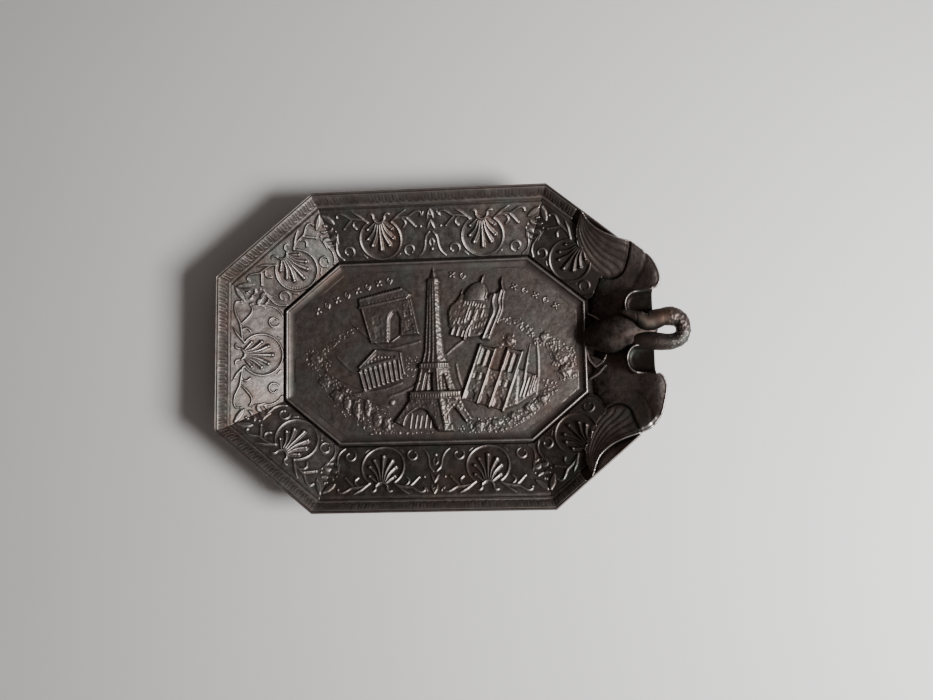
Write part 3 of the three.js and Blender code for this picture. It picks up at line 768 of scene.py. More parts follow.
SPIKE = [[22.6, -1.2, 0.3, 1.2, 1.5], [24.4, -0.8, 0.1, 0.8, 1.3], [25.2, -0.4, 0.0, 0.4, 1.0],
         [26.5, -0.3, -0.1, 0.12, 0.7]]
LEFT_LEG = [(-12.9, -21.7), (-9.8, -23.0), (-8.0, -19.3), (-5.2, -17.5), (-3.6, -14.6), (-7.8, -14.6),
            (-9.6, -17.3)]
LEFT_WEB = [(-8.2, -14.4), (1.9, -14.4), (3.2, -24.7), (0.7, -24.5), (-0.8, -20.6), (-2.6, -18.2),
            (-4.9, -17.4), (-7.4, -18.9)]
RIGHT_WEB = [(1.9, -14.4), (7.9, -14.4), (9.2, -17.5), (11.6, -21.3), (9.4, -22.0), (7.2, -18.4),
             (5.8, -17.4), (4.6, -18.4), (5.8, -24.6), (3.0, -24.8)]
ARCADES = [((-7.4, -13.7), (1.4, -13.9), 12), ((2.3, -13.9), (7.6, -13.5), 8),
           ((-4.5, -4.5), (0.8, -4.6), 7), ((1.5, -4.6), (4.4, -4.4), 5)]


def draw_tower(layer):
    """An openwork iron tower on four splayed legs, seen on its corner."""
    layer.fill(LEFT_LEG, 1.5, 0.3)
    layer.fill(LEFT_WEB, lambda u, v: 1.5 + 0.09 * np.clip(u + 8, 0, 10), 0.3)
    layer.fill(RIGHT_WEB, lambda u, v: 2.3 - 0.1 * np.clip(u - 3, 0, 9), 0.3)
    wedge(layer, FRONT_LEG, lattice=0.22, pitch=1.1, ribs=(0.15, 0.85))
    covered = layer.height > 0
    layer.cut(([(4.7, -22.6), (4.3, -18.6), (5.8, -17.8), (7.0, -19.0), (8.9, -22.2)], 1.4, 0.3))
    layer.height = np.maximum(layer.height, 0.2 * covered)
    wedge(layer, STAGE, ribs=(0.1, 0.5, 0.9), lattice=0.2, pitch=1.15)
    layer.cut(([(-3.9, -12.4), (-0.6, -12.4), (-0.5, -6.6), (-2.6, -6.9)], 1.5, 0.25),
              ([(2.5, -12.4), (4.3, -12.4), (2.9, -7.2), (2.3, -7.2)], 1.6, 0.2))
    bright = layer.blank()
    bright.fill([(-3.8, -12.4), (-1.2, -12.4), (-1.9, -7.4), (-2.5, -7.4)], 0.7, 0.7)
    layer.height += bright.height
    wedge(layer, SHAFT, ribs=(0.06, 0.36, 0.66), lattice=0.24, pitch=0.95)
    levels, *edges = np.transpose(SHAFT)[:4]
    for y in (2.8, 8.4, 14.6):
        wedge(layer, [[y - 0.3, *(np.interp(y, levels, edge) for edge in edges), 2.35]], step=0.5)
    wedge(layer, LOWER_DECK, step=0.62)
    wedge(layer, UPPER_DECK, step=0.6)
    wedge(layer, CABIN, step=0.6)
    arcade = layer.blank()
    for start, end, count in ARCADES:
        for spot in row_of(count, start, end):
            arcade.stroke([spot + (0, -0.45), spot + (0, 0.35)], 0.22, 0.32)
    layer.height -= arcade.height
    layer.roughen(0.9, (LEFT_LEG, 80, 0.24, 0.26, 44), (LEFT_WEB, 60, 0.24, 0.22, 45),
                  (RIGHT_WEB, 130, 0.25, 0.4, 46))
    wedge(layer, SPIKE)
    layer.curve([(-9.9, -22.8), (-9.2, -20.4), (-7.9, -18.9), (-5.2, -17.3)], 0.34, 2.0)
    layer.curve([(-5.2, -17.3), (-3.0, -17.9), (-1.2, -20.0), (0.6, -24.2)], 0.3, 1.9)
    layer.curve([(4.4, -18.6), (5.8, -17.3), (7.3, -18.7), (9.6, -22.0)], 0.3, 2.0)
    for x in (-8.0, -6.4, -5.0, -3.4, -1.8):
        layer.stroke([(x, -23.6), (x + 0.7, -19.9 + 0.2 * abs(x + 5))], [0.34, 0.28], 0.38)


def draw_arch(layer):
    """A great arch of one opening, seen from below on its corner."""
    layer.fill([(-19.8, 2.8), (-12.9, 2.8), (-10.4, 5.0), (-4.7, 5.3), (-6.4, 12), (-7.6, 16.8),
                (-22.9, 14.1)], lambda u, v: 1.5 + 0.035 * (u + 20), 0.3)
    layer.fill([(-23.5, 14.0), (-7.6, 17.0), (-6.9, 17.9), (-9.7, 20.2), (-23.7, 16.8)], 1.75, 0.3)
    layer.fill([(-23.7, 13.6), (-8.0, 16.6), (-7.9, 17.4), (-23.7, 14.5)], 2.15, 0.2)
    layer.fill([(-23.5, 16.1), (-9.9, 19.3), (-9.7, 20.2), (-23.7, 17.0)], 2.1, 0.2)
    layer.cut(
        ([(-14.3, 3.0), (-10.5, 5.0), (-10.4, 10.6), (-11.4, 12.7), (-12.9, 12.5), (-14.1, 10.6)],
         1.25, 0.25),
        ([(-19.2, 11.2), (-16.9, 11.7), (-16.8, 8.8), (-18.9, 8.4)], 0.22, 0.25),
        ([(-18.7, 7.6), (-16.6, 8.0), (-16.2, 4.4), (-18.0, 4.2)], 0.25, 0.25),
        ([(-9.2, 12.5), (-7.7, 12.8), (-7.2, 10.6), (-8.9, 10.4)], 0.25, 0.2),
        ([(-8.8, 9.6), (-7.0, 9.7), (-6.3, 6.6), (-8.4, 6.4)], 0.28, 0.2))
    layer.curve([(-15.0, 3.2), (-14.8, 8), (-14.5, 11.2), (-13.2, 13.1), (-11.4, 13.3), (-10.0, 11.4),
                 (-9.9, 8), (-10.0, 5.2)], 0.3, 2.0)
    layer.curve([(-7.3, 16.6), (-6.3, 12), (-4.9, 5.6)], [0.34, 0.42], 2.3)
    layer.stroke([(-22.6, 13.6), (-19.6, 3.0)], 0.3, 1.9)
    layer.stroke([(-20.0, 13.9), (-7.6, 16.2)], 0.16, 1.9)
    for spot in row_of(13, (-22.9, 15.0), (-8.7, 17.9)):
        layer.ball(spot, 0.33, 2.15)
    for spot in row_of(15, (-23.1, 17.0), (-10.3, 20.1)):
        layer.stroke([spot + (0, -0.4), spot + (0, 0.25)], 0.24, 2.3)
    layer.roughen(0.8, ([(-9.6, 5.4), (-4.9, 5.6), (-7.8, 15.8), (-9.6, 15.2)], 90, 0.26, 0.34, 41),
                  ([(-15.6, 3.4), (-13.4, 4.2), (-13.8, 12.0), (-15.6, 12.4)], 34, 0.27, 0.3, 42),
                  ([(-19.4, 3.4), (-16.0, 3.6), (-16.2, 13), (-22, 13)], 60, 0.24, 0.16, 43))
    for spot in row_of(3, (-13.6, 4.6), (-11.6, 5.6)):
        layer.stroke([spot, spot + (0.1, 5.4)], 0.2, 0.75)


def draw_temple(layer):
    """A long temple front: eight leaning columns under a low gable."""
    layer.fill([(-22.4, -11.9), (-10.2, -8.2), (-9.8, -1.4), (-23.2, -4.6)], 0.5, 0.3)
    layer.fill([(-23.6, -4.6), (-18.3, 0.9), (-10.2, -0.1), (-10.6, -2.2), (-23.4, -5.6)], 1.5, 0.3)
    layer.cut(([(-21.9, -4.0), (-18.2, -0.3), (-12.2, -0.9), (-12.6, -1.7)], 0.45, 0.25))
    layer.stroke([(-23.7, -4.7), (-18.3, 0.85)], 0.3, 2.0)
    layer.stroke([(-18.3, 0.85), (-10.4, -0.1)], 0.24, 1.75)
    layer.stroke([(-23.5, -4.9), (-10.8, -1.5)], 0.2, 1.8)
    layer.stroke([(-23.3, -5.7), (-10.9, -2.3)], 0.2, 1.7)
    for order, x in enumerate(np.linspace(-20.9, -13.4, 8)):
        layer.ball((x, np.interp(x, [-21, -18, -13], [-3.3, -1.2, -1.4]) - 0.2), 0.4, 1.7)
        layer.stroke([(x, -3.4 + 0.1 * order), (x + 0.2, -2.2 + 0.1 * order)], 0.24, 1.6)
    for order in range(9):
        top = np.array([-23.4 + 1.52 * order, -5.9 + 0.42 * order])
        foot = np.array([-21.9 + 1.42 * order, -11.4 + 0.4 * order])
        layer.stroke([top, foot], [0.36, 0.4, 0.46], 1.6)
        layer.ball(top, 0.5, 1.65)
        layer.ball(foot, 0.52, 1.5)
    layer.curve([(-10.6, -0.3), (-10.3, -3.0), (-9.4, -6.9)], [0.5, 0.6, 0.4], 1.9)
    layer.stroke([(-22.4, -12.0), (-10.4, -8.3)], 0.3, 0.8)


LEAN = np.array([0.33, 0.94])          # the way that uprights lean on the right half of the plaque


def upright(foot, length):
    """A leaning upright as two ends."""
    return [np.array(foot, float), np.array(foot, float) + LEAN * length]


# Rows of the basilica's columns as start, end and count, and its single uprights as foot and length.
COLONNADES = [((5.0, 11.6), (8.2, 11.0), 5), ((4.9, 9.4), (8.4, 8.4), 5), ((11.8, 6.4), (16.4, 8.0), 6)]
PILASTERS = [((9.4, 8.8), 5.0), ((11.4, 8.0), 5.6), ((10.4, 9.4), 3.0), ((12.4, 9.2), 3.4),
             ((14.6, 10.2), 2.4)]
# Centre, radii, base height and rise of each dome.
DOMES = [(12.8, 16.6, 3.5, 4.6, 1.1, 1.2), (8.4, 15.6, 1.1, 2.0, 0.9, 0.7),
         (17.6, 15.4, 1.0, 2.2, 0.9, 0.7), (5.9, 13.4, 1.0, 1.5, 0.7, 0.5)]


def draw_basilica(layer):
    """A domed church on a hill, with a bell tower in front of it."""
    layer.fill([(4.4, 7.4), (9.1, 3.4), (14.2, 4.2), (19.0, 8.4), (18.4, 14.6), (16.9, 16.4), (9.3, 16.8),
                (7.2, 15.8), (4.4, 12.6)], lambda u, v: 0.9 + 0.045 * (v - 4), 0.4)
    turn = np.radians(np.linspace(-20, 200, 20))
    for cx, cy, rx, ry, base, rise in DOMES:
        rim = np.stack([cx + rx * np.cos(turn) + 0.33 * ry * np.sin(turn), cy + ry * np.sin(turn)], -1)

        def skin(u, v):
            lean = (u - cx) - 0.33 * (v - cy)
            return base + rise * np.sqrt(np.clip(1 - (lean / rx) ** 2 - ((v - cy) / ry) ** 2 * 0.8, 0, 1))
        layer.fill(rim, skin, 0.2)
    layer.stroke([(15.0, 20.4), (15.2, 21.4), (15.9, 23.3)], [0.55, 0.5, 0.2], 1.9)
    layer.stroke([(16.4, 19.2), (16.7, 17.6), (16.2, 16.1)], [0.3, 0.4, 0.4], 2.0)
    layer.stroke([(8.7, 17.4), (9.1, 19.0)], [0.4, 0.2], 1.3)
    layer.stroke(upright((9.0, 13.3), 4.4), 0.34, 1.6)
    for spot in row_of(9, (9.8, 16.4), (16.3, 14.8)):
        layer.stroke(upright(spot, 0.9), 0.26, 1.9)
    for start, end, count in COLONNADES:
        for spot in row_of(count, start, end):
            layer.stroke(upright(spot, 1.3), 0.24, 1.75)
    for spot in row_of(8, (9.6, 14.3), (15.2, 12.9)):
        layer.stroke(upright(spot, 1.2), 0.3, 1.8)
    layer.stroke([(9.4, 15.9), (16.6, 14.3)], 0.16, 1.7)
    for foot, length in PILASTERS:
        layer.stroke(upright(foot, length), [0.4, 0.3], 1.75)
    for spot in row_of(3, (4.7, 11.0), (7.8, 12.2)):
        layer.stroke(upright(spot, 2.3), [0.34, 0.28], 1.35)
    for spot in row_of(3, (6.0, 8.2), (8.6, 8.6)):
        layer.stroke(upright(spot, 2.0), [0.4, 0.34], 1.45)
    layer.fill([(4.6, 4.9), (9.0, 3.7), (10.2, 6.6), (5.6, 7.6)], 1.0, 0.3)
    for spot in row_of(3, (5.3, 4.9), (8.4, 4.2)):
        layer.stroke(upright(spot, 2.0), [0.44, 0.38], 1.6)
    layer.curve([(9.3, 3.4), (10.0, 6.0), (12.2, 9.6)], [0.5, 0.36], 1.7)
    layer.curve([(10.6, 4.4), (11.2, 6.6), (13.0, 9.4)], [0.34, 0.24], 1.5)
    layer.roughen(0.6, ([(4.8, 7.4), (9.0, 4.4), (14.0, 5.0), (18.4, 8.6), (17.8, 14.0), (9.5, 14.8),
                         (4.8, 12.2)], 130, 0.26, 0.28, 40))
    # The bell tower.
    layer.fill([(14.6, 3.2), (17.2, 2.8), (21.4, 13.0), (22.2, 17.6), (21.4, 22.4), (20.8, 18.4),
                (18.4, 16.8), (17.4, 11.4)], 1.7, 0.3)
    for line, width in (([(15.0, 3.4), (17.3, 8.6), (18.6, 11.6), (18.3, 14.6), (19.0, 17.2)], 0.46),
                        ([(17.2, 4.4), (19.2, 9.2), (20.4, 12.6), (20.2, 15.0), (21.2, 18.4)], 0.44),
                        ([(19.6, 8.0), (21.2, 12.0), (21.5, 15.2), (22.1, 18.0)], 0.36)):
        layer.curve(line, width, 2.3)
    layer.stroke([(21.7, 18.2), (21.3, 20.2), (21.5, 22.6)], [0.5, 0.42, 0.16], 2.2)
    layer.ball((21.7, 18.3), 0.55, 2.4)
    for y in (9.6, 11.6, 13.4):
        x = np.interp(y, [3.4, 11.6, 17.2], [15.0, 18.6, 19.0])
        layer.stroke([(x, y), (x + 2.9, y + 0.6)], 0.2, 2.3)
    layer.stroke([(15.2, 3.6), (17.6, 5.2)], 0.7, 1.9)


# Edges of the cathedral's towers as place, foot, head and half width, and its buttresses.
TOWER_EDGES = [(0.0, 0, 1.02, 0.5), (0.37, 0, 1.02, 0.5), (0.66, 0, 1.1, 0.48), (1.0, 0, 1.1, 0.62)]
BUTTRESSES = [((25.8, -14.6), 5.0), ((26.8, -14.8), 6.2), ((28.0, -14.6), 6.6), ((29.0, -13.6), 5.6),
              ((30.0, -12.8), 4.0)]


def draw_cathedral(layer):
    """A great church front with two square towers, its nave and a spire behind."""
    front = Slanted((8.3, -15.0), (12.3, -3.9), (5.9, 16.2))
    layer.fill([(20.4, -18.9), (25.0, -17.4), (30.9, -13.6), (31.0, -8.2), (26.9, -6.6), (24.5, -5.4)],
               1.3, 0.35)
    layer.fill(front.box(-0.02, 0, 1.02, 0.66), 1.7, 0.25)
    layer.fill(front.box(-0.02, 0.5, 0.4, 1.02), 2.0, 0.25)
    layer.fill(front.box(0.63, 0.5, 1.02, 1.1), 2.15, 0.25)
    layer.fill([(20.6, -18.8), (25.0, -17.2), (25.9, -8.6), (24.6, -6.9)], 1.9, 0.3)
    doors = [(front((a, 0.02), (a + 0.2, 0.02), (a + 0.2, 0.15), (a + 0.11, 0.22), (a, 0.16)), 0.7, 0.3)
             for a in (0.06, 0.4, 0.74)]
    left_belfry = [(front.box(a, 0.66, a + 0.085, 0.97), 0.9, 0.2) for a in (0.09, 0.235)]
    right_belfry = [(front.box(a, 0.68, a + 0.085, 1.03), 0.95, 0.2) for a in (0.7, 0.845)]
    windows = [(front.box(a, 0.4, a + 0.07, 0.54), 0.5, 0.2) for a in (0.08, 0.23, 0.72, 0.87)]
    rose = front((0.41, 0.36), (0.52, 0.32), (0.62, 0.38), (0.62, 0.48), (0.52, 0.54), (0.41, 0.48))
    layer.cut(*doors, *left_belfry, *right_belfry, *windows, (rose, 0.45, 0.3))
    for a, low, high, width in TOWER_EDGES:
        layer.stroke(front((a, low), (a, high)), width, 2.5)
    for a in (0.185, 0.83):
        layer.stroke(front((a, 0.64), (a, 1.0)), 0.28, 2.35)
    for b in (0.26, 0.3, 0.58, 0.64):
        layer.stroke(front((0, b), (1, b)), 0.18, 2.15)
    for a in np.linspace(0.04, 0.96, 17):
        layer.stroke(front((a, 0.265), (a, 0.3)), 0.2, 2.1)
    for a in np.linspace(0.03, 0.97, 15):
        layer.stroke(front((a, 0.585), (a, 0.64)), 0.18, 2.15)
    hub = front((0.515, 0.43))[0]
    for spoke in np.radians(range(0, 360, 45)):
        layer.stroke([hub, hub + 1.1 * np.array([math.cos(spoke), math.sin(spoke)])], 0.16, 1.75)
    layer.fill(front.box(-0.03, 0.97, 0.41, 1.02), 2.35, 0.2)
    layer.fill(front.box(0.62, 1.05, 1.03, 1.1), 2.5, 0.2)
    # Nave, spire and apse.
    for order, foot in enumerate(row_of(4, (22.4, -17.6), (24.9, -16.6))):
        layer.stroke(upright(foot, 7.6 + 0.6 * order), 0.2, 2.1)
    layer.stroke([(27.3, -9.6), (28.3, -5.0), (29.6, 1.5)], [0.62, 0.46, 0.12], 1.9)
    layer.ball((28.6, -4.6), 0.62, 1.6)
    for foot, length in BUTTRESSES:
        layer.stroke(upright(foot, length), [0.42, 0.32], 1.9)
    for spot in row_of(5, (26.2, -15.3), (30.6, -13.0)):
        layer.ball(spot, 0.5, 1.3)
    layer.roughen(0.8, (front.box(0.0, 0.02, 0.98, 0.98), 190, 0.27, 0.3, 47),
                  ([(20.9, -18.4), (24.8, -17.0), (25.6, -8.8)], 60, 0.25, 0.3, 48))


# Groves as outline, number of leaves, leaf size, leaf height and seed, and crowns as centre and radii.
LEFT_GROVES = [
    ([(-24.0, 7.3), (-24.2, 8.5), (-29.9, 6.0), (-34.6, 2.9), (-36.2, -0.8), (-34.4, -1.4), (-33.2, 1.0),
      (-29.6, 4.0)], 170, LEAF_SIZE, LEAF_HEIGHT, 51),
    ([(-40.6, 1.3), (-36.6, 1.6), (-32.4, -2.6), (-33.0, -5.0), (-38.4, -5.2), (-40.8, -2.6)],
     180, LEAF_SIZE, LEAF_HEIGHT, 52),
    ([(-38.4, -6.0), (-32.0, -6.2), (-27.6, -10.2), (-15.0, -18.6), (-12.0, -19.8), (-13.2, -25.0),
      (-20.6, -25.2), (-30.8, -17.6)], 480, LEAF_SIZE, LEAF_HEIGHT, 53)]
LEFT_FRINGES = [
    ([(-9.2, -0.6), (-5.2, -1.4), (-5.4, -6.2), (-7.4, -8.6), (-9.4, -7.4)],
     46, LEAF_SIZE, LEAF_HEIGHT, 54),
    ([(-21, -24.5), (-1, -24.9), (-1, -25.4), (-21, -25.3)], 60, LEAF_SIZE, 0.5, 55)]
LEFT_CROWNS = [
    ((-37.6, -1.4), (1.9, 1.7)), ((-34.6, -8.6), (2.1, 1.7)), ((-30.9, -13.0), (1.9, 1.9)),
    ((-27.6, -15.4), (1.3, 2.3)), ((-24.8, -17.3), (1.4, 3.0)), ((-21.2, -17.2), (1.3, 2.8)),
    ((-18.3, -20.6), (1.5, 2.4)), ((-15.4, -22.2), (1.4, 2.2)), ((-28.4, -11.6), (1.3, 1.3)),
    ((-13.6, -15.6), (1.0, 1.1))]
RIGHT_GROVES = [
    ([(18.6, 9.0), (20.6, 10.4), (26.6, 9.4), (30.6, 6.0), (33.0, 1.0), (31.2, 0.4), (29.0, 3.8),
      (25.0, 7.2)], 150, LEAF_SIZE, LEAF_HEIGHT, 71),
    ([(33.0, 5.8), (36.2, 3.6), (40.6, 1.2), (43.2, -1.2), (43.2, -9.6), (38.2, -10.4), (35.8, -5.6),
      (35.4, -0.4), (32.0, 1.4)], 430, LEAF_SIZE, LEAF_HEIGHT, 72),
    ([(11.8, -21.2), (20.8, -20.4), (27.6, -17.4), (32.4, -13.6), (36.6, -13.4), (33.8, -17.6),
      (26.4, -22.6), (20.6, -25.3), (6.4, -25.4), (6.2, -24.0)], 480, LEAF_SIZE, LEAF_HEIGHT, 73),
    ([(19.4, 0.8), (21.6, 4.8), (24.6, 4.4), (25.4, 1.4), (23.2, -0.4)], 90, LEAF_SIZE, LEAF_HEIGHT, 74),
    ([(32.2, -9.6), (37.2, -9.8), (37.4, -13.4), (32.4, -13.6)], 60, LEAF_SIZE, 0.3, 75)]
RIGHT_CROWNS = [
    ((38.6, -2.8), (2.2, 2.0)), ((39.8, -7.0), (2.0, 1.8)), ((33.8, 3.4), (1.5, 1.4)),
    ((32.6, -15.6), (1.7, 1.3)), ((28.4, -18.0), (1.7, 1.4)), ((23.8, -20.6), (1.8, 1.3)),
    ((18.4, -22.4), (1.7, 1.3)), ((13.2, -23.0), (1.6, 1.3)), ((23.2, 2.6), (1.5, 1.7))]


def draw_trees(layer, groves, crowns, height, seed, fringes=()):
    """Clumps of trees: scattered leaves, rounder crowns among them, and low growth at their foot."""
    for grove in groves:
        layer.scatter(*grove)
    for order, (centre, radii) in enumerate(crowns):
        tree(layer, centre, radii, height, seed + 2 * order)
    for fringe in fringes:
        layer.scatter(*fringe)


BAND_CENTRE_Y = -46
BAND_RADIUS = 70


def draw_rosettes(layer, start, end, count):
    """A band of small flowers and buds along an arc."""
    for order in range(count):
        angle = math.radians(90 - (start + (end - start) * (order + 0.5) / count))
        out = np.array([math.cos(angle), math.sin(angle)])
        side = np.array([-out[1], out[0]])
        middle = np.array([0, BAND_CENTRE_Y]) + BAND_RADIUS * out
        if order % 2:
            for sign in (-1, 1):
                bud = [middle - 1.1 * out, middle + sign * 0.75 * side, middle + 1.15 * out]
                layer.curve(bud, [0.22, 0.32, 0.18], 0.55)
            layer.ball(middle, 0.3, 0.6)
        else:
            for petal in range(4):
                turn = math.pi / 4 + petal * math.pi / 2
                tip = middle + 0.95 * (math.cos(turn) * out + math.sin(turn) * side)
                layer.stroke([middle, tip], [0.2, 0.36], 0.58)


PATHS = [
    [(3.6, -1.2), (6.6, 1.4), (9.4, 3.4)], [(-32.4, -9.8), (-24, -13.4), (-14.9, -16.9)],
    [(-4.9, -9.8), (-9.6, -12.2), (-14.3, -13.8)], [(-30.6, -1.0), (-26, -5.4), (-21.8, -6.2)],
    [(-24.6, -12.6), (-16.6, -11.6), (-10.4, -9.6)], [(-34.0, -5.6), (-28.0, -8.8), (-22.6, -11.4)],
    [(6.6, -4.4), (7.4, -8.8), (8.4, -11.6)], [(-26, 9.4), (-16, 1.6), (-8.4, 2.2), (-4.6, 3.2)],
    [(31.6, 2.0), (31.8, -6.4), (30.8, -14.0)]]


def draw_ground(relief):
    """The plaque under the buildings: casting waves, and the edges of roads and lawns."""
    u, v = relief.axes()
    place = on_plane(u, v)
    relief.height = noise(place, 7, 91) * 0.07 + noise(place, 1.5, 92) * 0.03
    relief.height += noise(place, 0.6, 93) * 0.018
    lines = relief.blank()
    for path in PATHS:
        lines.curve(path, [0.3, 0.42, 0.3], 0.2)
    relief.height += lines.height


# How to draw each subject, and how far it is then flattened.
LANDMARKS = {
    "lattice_tower": (draw_tower, 0.72), "triumphal_arch": (draw_arch, 0.5),
    "colonnaded_temple": (draw_temple, 0.54), "domed_basilica": (draw_basilica, 0.6),
    "twin_tower_cathedral": (draw_cathedral, 0.46),
    "left_trees": (lambda layer: draw_trees(layer, LEFT_GROVES, LEFT_CROWNS, 0.8, 60, LEFT_FRINGES), 0.44),
    "right_trees": (lambda layer: draw_trees(layer, RIGHT_GROVES, RIGHT_CROWNS, 0.75, 80), 0.62),
    "rosette_band_left": (lambda layer: draw_rosettes(layer, -33, -10, 8), 0.8),
    "rosette_band_centre": (lambda layer: draw_rosettes(layer, 3.4, 8.9, 2), 0.8),
    "rosette_band_right": (lambda layer: draw_rosettes(layer, 19.5, 34, 5), 0.8),
}


PLAQUE_BASE = 2.0
RELIEF_BASE = 2.1


def make_plaque():
    """The plaque and each landmark on it, separate bodies that meet where the relief leaves the ground."""
    outline = octagon(PLAQUE_SHARE)
    ground = Relief((-44.5, -26.5), (44.5, 27.0), PLAQUE_STEP)
    draw_ground(ground)
    layers = {}
    together = ground.height.copy()
    for name, (draw, flattened) in LANDMARKS.items():
        layer = ground.blank()
        draw(layer)
        layer.height = blurred(layer.height, 1) * flattened
        layers[name] = layer
        together = np.maximum(together, ground.height + layer.height)
    u, v = ground.axes()
    grain = noise(on_plane(u, v), 0.45, 94)
    wear_and_painted_light = np.clip(wear_of(together, 0.45) + 0.04 * grain, 0.3, 1)
    # The plaque is sunk where a landmark covers it, and needs only every second point.
    covered = together - ground.height
    sunk = 0.25 * smoothstep((covered - 0.25) / 0.2)
    every = slice(None, None, 2)
    top = np.stack([u, v, PLAQUE_TOP + ground.height - sunk], -1)[every, every]
    cell_u, cell_v = (axis[every, every][:-1, :-1] + PLAQUE_STEP for axis in (u, v))
    keep = signed_distance(outline, cell_u, cell_v) > 0

    def sink_to(level):
        return lambda points: np.column_stack([points[:, :2], np.full(len(points), level)])
    plaque = solid_from_grid("plaque_ground", top, wear_and_painted_light[every, every], sink_to(PLAQUE_BASE), keep)
    made = [(plaque, "plaque")]
    for name, layer in layers.items():
        buried = 0.15 * (1 - smoothstep(layer.height / 0.1))
        top = np.stack([u, v, PLAQUE_TOP + ground.height + layer.height - buried], -1)
        near = blurred((layer.height > 0.02).astype(float), 2) > 0.02
        keep = near[:-1, :-1] & near[1:, 1:]
        made.append((solid_from_grid(name + "_relief", top, wear_and_painted_light, sink_to(RELIEF_BASE), keep), name))
    return made


# ------------------------------------------------------------------ the swan's wings and the rests

END_STEP = 0.18
# Height of the wings over the share of the way from crest to rim: they rise off the sloping end.
WING_SECTION = np.array([[0.0, 1.6], [0.2, 3.75], [0.4, 6.0], [0.6, 8.5], [0.75, 10.6], [0.88, 12.9],
                         [1.0, 14.7], [1.08, 15.3], [1.2, 15.5]])
FEATHERS = 7
FEATHER_RISE = 0.3
BROW_WIDTH = 1.5                # bevel on the right shoulder where the light catches it; it is also painted brighter, a painted highlight

# Plan of each wing, as if it were the one at +Y: the fan's leading and trailing edges run from the
# tip to the root, the edge goes on round the shoulder to the rest, and the hem goes back under the swan.
WINGS = {
    1: {"lead": [(46.0, 39.2), (48.2, 35.6), (51.4, 33.0), (55.2, 31.0), (59.5, 29.5)],
        "edge": [(63.0, 26.6), (65.5, 24.0), (67.0, 21.0), (67.6, 18.5), (67.4, 16.4), (66.4, 15.2),
                 (65.4, 15.1)],
        "hem": [(57.6, 4.2), (52.0, 3.6), (48.6, 5.6), (47.2, 9.6), (47.3, 13.6), (48.4, 17.2),
                (50.6, 20.6)],
        "trail": [(45.6, 38.9), (44.3, 34.4), (44.7, 30.2), (46.2, 26.4), (48.2, 23.2), (50.6, 20.6)],
        "root": [(59.5, 29.5), (59.0, 24.6), (57.6, 21.0), (54.6, 19.6), (50.6, 20.6)]},
    -1: {"lead": [(46.4, 38.6), (48.4, 33.6), (51.6, 30.4), (55.6, 28.3), (60.3, 26.8)],
         "edge": [(63.0, 25.6), (64.8, 24.0), (66.4, 21.4), (67.4, 18.0), (68.2, 14.0), (67.5, 10.8),
                  (66.4, 9.6),
                  (65.4, 9.6)],
         "hem": [(57.6, -1.6), (52.0, -1.2), (48.8, 1.4), (47.6, 6.0), (47.4, 10.5), (48.0, 15.0),
                 (50.4, 19.6)],
         "trail": [(46.0, 38.4), (44.8, 34.0), (45.2, 29.2), (46.6, 25.0), (48.4, 21.8), (50.4, 19.6)],
         "root": [(60.3, 26.8), (59.2, 22.8), (57.8, 19.2), (54.4, 17.8), (50.4, 19.6)]},
}
RESTS = {1: (7.3, 14.4), -1: (1.4, 9.0)}        # distances of each rest's two sides from the centre line
REST_MOUTH = 65.4
REST_END = 57.7
REST_BEND_X = 60.6
REST_FLOOR = 9.6                                # lowest point of a rest, at its inner end
REST_SLOPE = 0.42
REST_CREST = [[56.8, 57.6, 60, 62, 66], [12.4, 13.1, 13.8, 13.6, 14.2]]     # top of its wall, along X
WALL = 0.65                                     # width of the wall round a rest


def wing_height(x, y):
    return np.interp(share_at(x, y, 0.05), *smooth(WING_SECTION, 4).T)


def wing_cover(x, y, sign):
    """Distance in from the edge of a wing, in plan."""
    plan = WINGS[sign]
    outline = np.vstack([plan["lead"], plan["edge"], plan["hem"], plan["trail"][::-1]])
    return signed_distance(outline, x, sign * y)


def snapped(points, outline):
    """Moves the rim points of a patch onto its outline, so that its edge has no steps."""
    x, y = points[:, 0], points[:, 1]
    small = 0.02
    apart = signed_distance(outline, x, y)
    pull_x = (signed_distance(outline, x + small, y) - apart) / small
    pull_y = (signed_distance(outline, x, y + small) - apart) / small
    apart = np.clip(apart, -END_STEP, END_STEP)
    return points - np.stack([apart * pull_x, apart * pull_y, 0 * apart], -1)


def plan_grid(outline, step):
    low, high = np.min(outline, 0) - step, np.max(outline, 0) + step
    counts = np.ceil((high - low) / step).astype(int)
    x, y = np.meshgrid(*(np.linspace(low[a], low[a] + counts[a] * step, counts[a] + 1) for a in (0, 1)))
    keep = signed_distance(outline, (x[:-1, :-1] + x[1:, 1:]) / 2, (y[:-1, :-1] + y[1:, 1:]) / 2) > 0
    return x, y, keep


def edge_points(keep, shape):
    """Which points of a grid lie on the edge of the kept cells."""
    fenced = np.pad(keep, 1).astype(int)
    around = fenced[:-1, :-1] + fenced[:-1, 1:] + fenced[1:, :-1] + fenced[1:, 1:]
    return ((around > 0) & (around < 4)).reshape(shape)


def sink_to_deck(points):
    """Moves points of the end down into the dish, and in under the end where they overhang it."""
    beyond = np.maximum(points[:, 0] - DECK_START_X, 0)
    x = points[:, 0] - 0.3 * beyond
    bed = bed_height(x, points[:, 1])
    on_rim = (bed > RIM_FOOT_HEIGHT) & (points[:, 0] < RIM_END_X)
    low = np.where(on_rim, bed, np.minimum(bed, DECK_HEIGHT)) - 0.3
    return np.column_stack([x, points[:, 1], np.minimum(low, points[:, 2] - 0.6)])


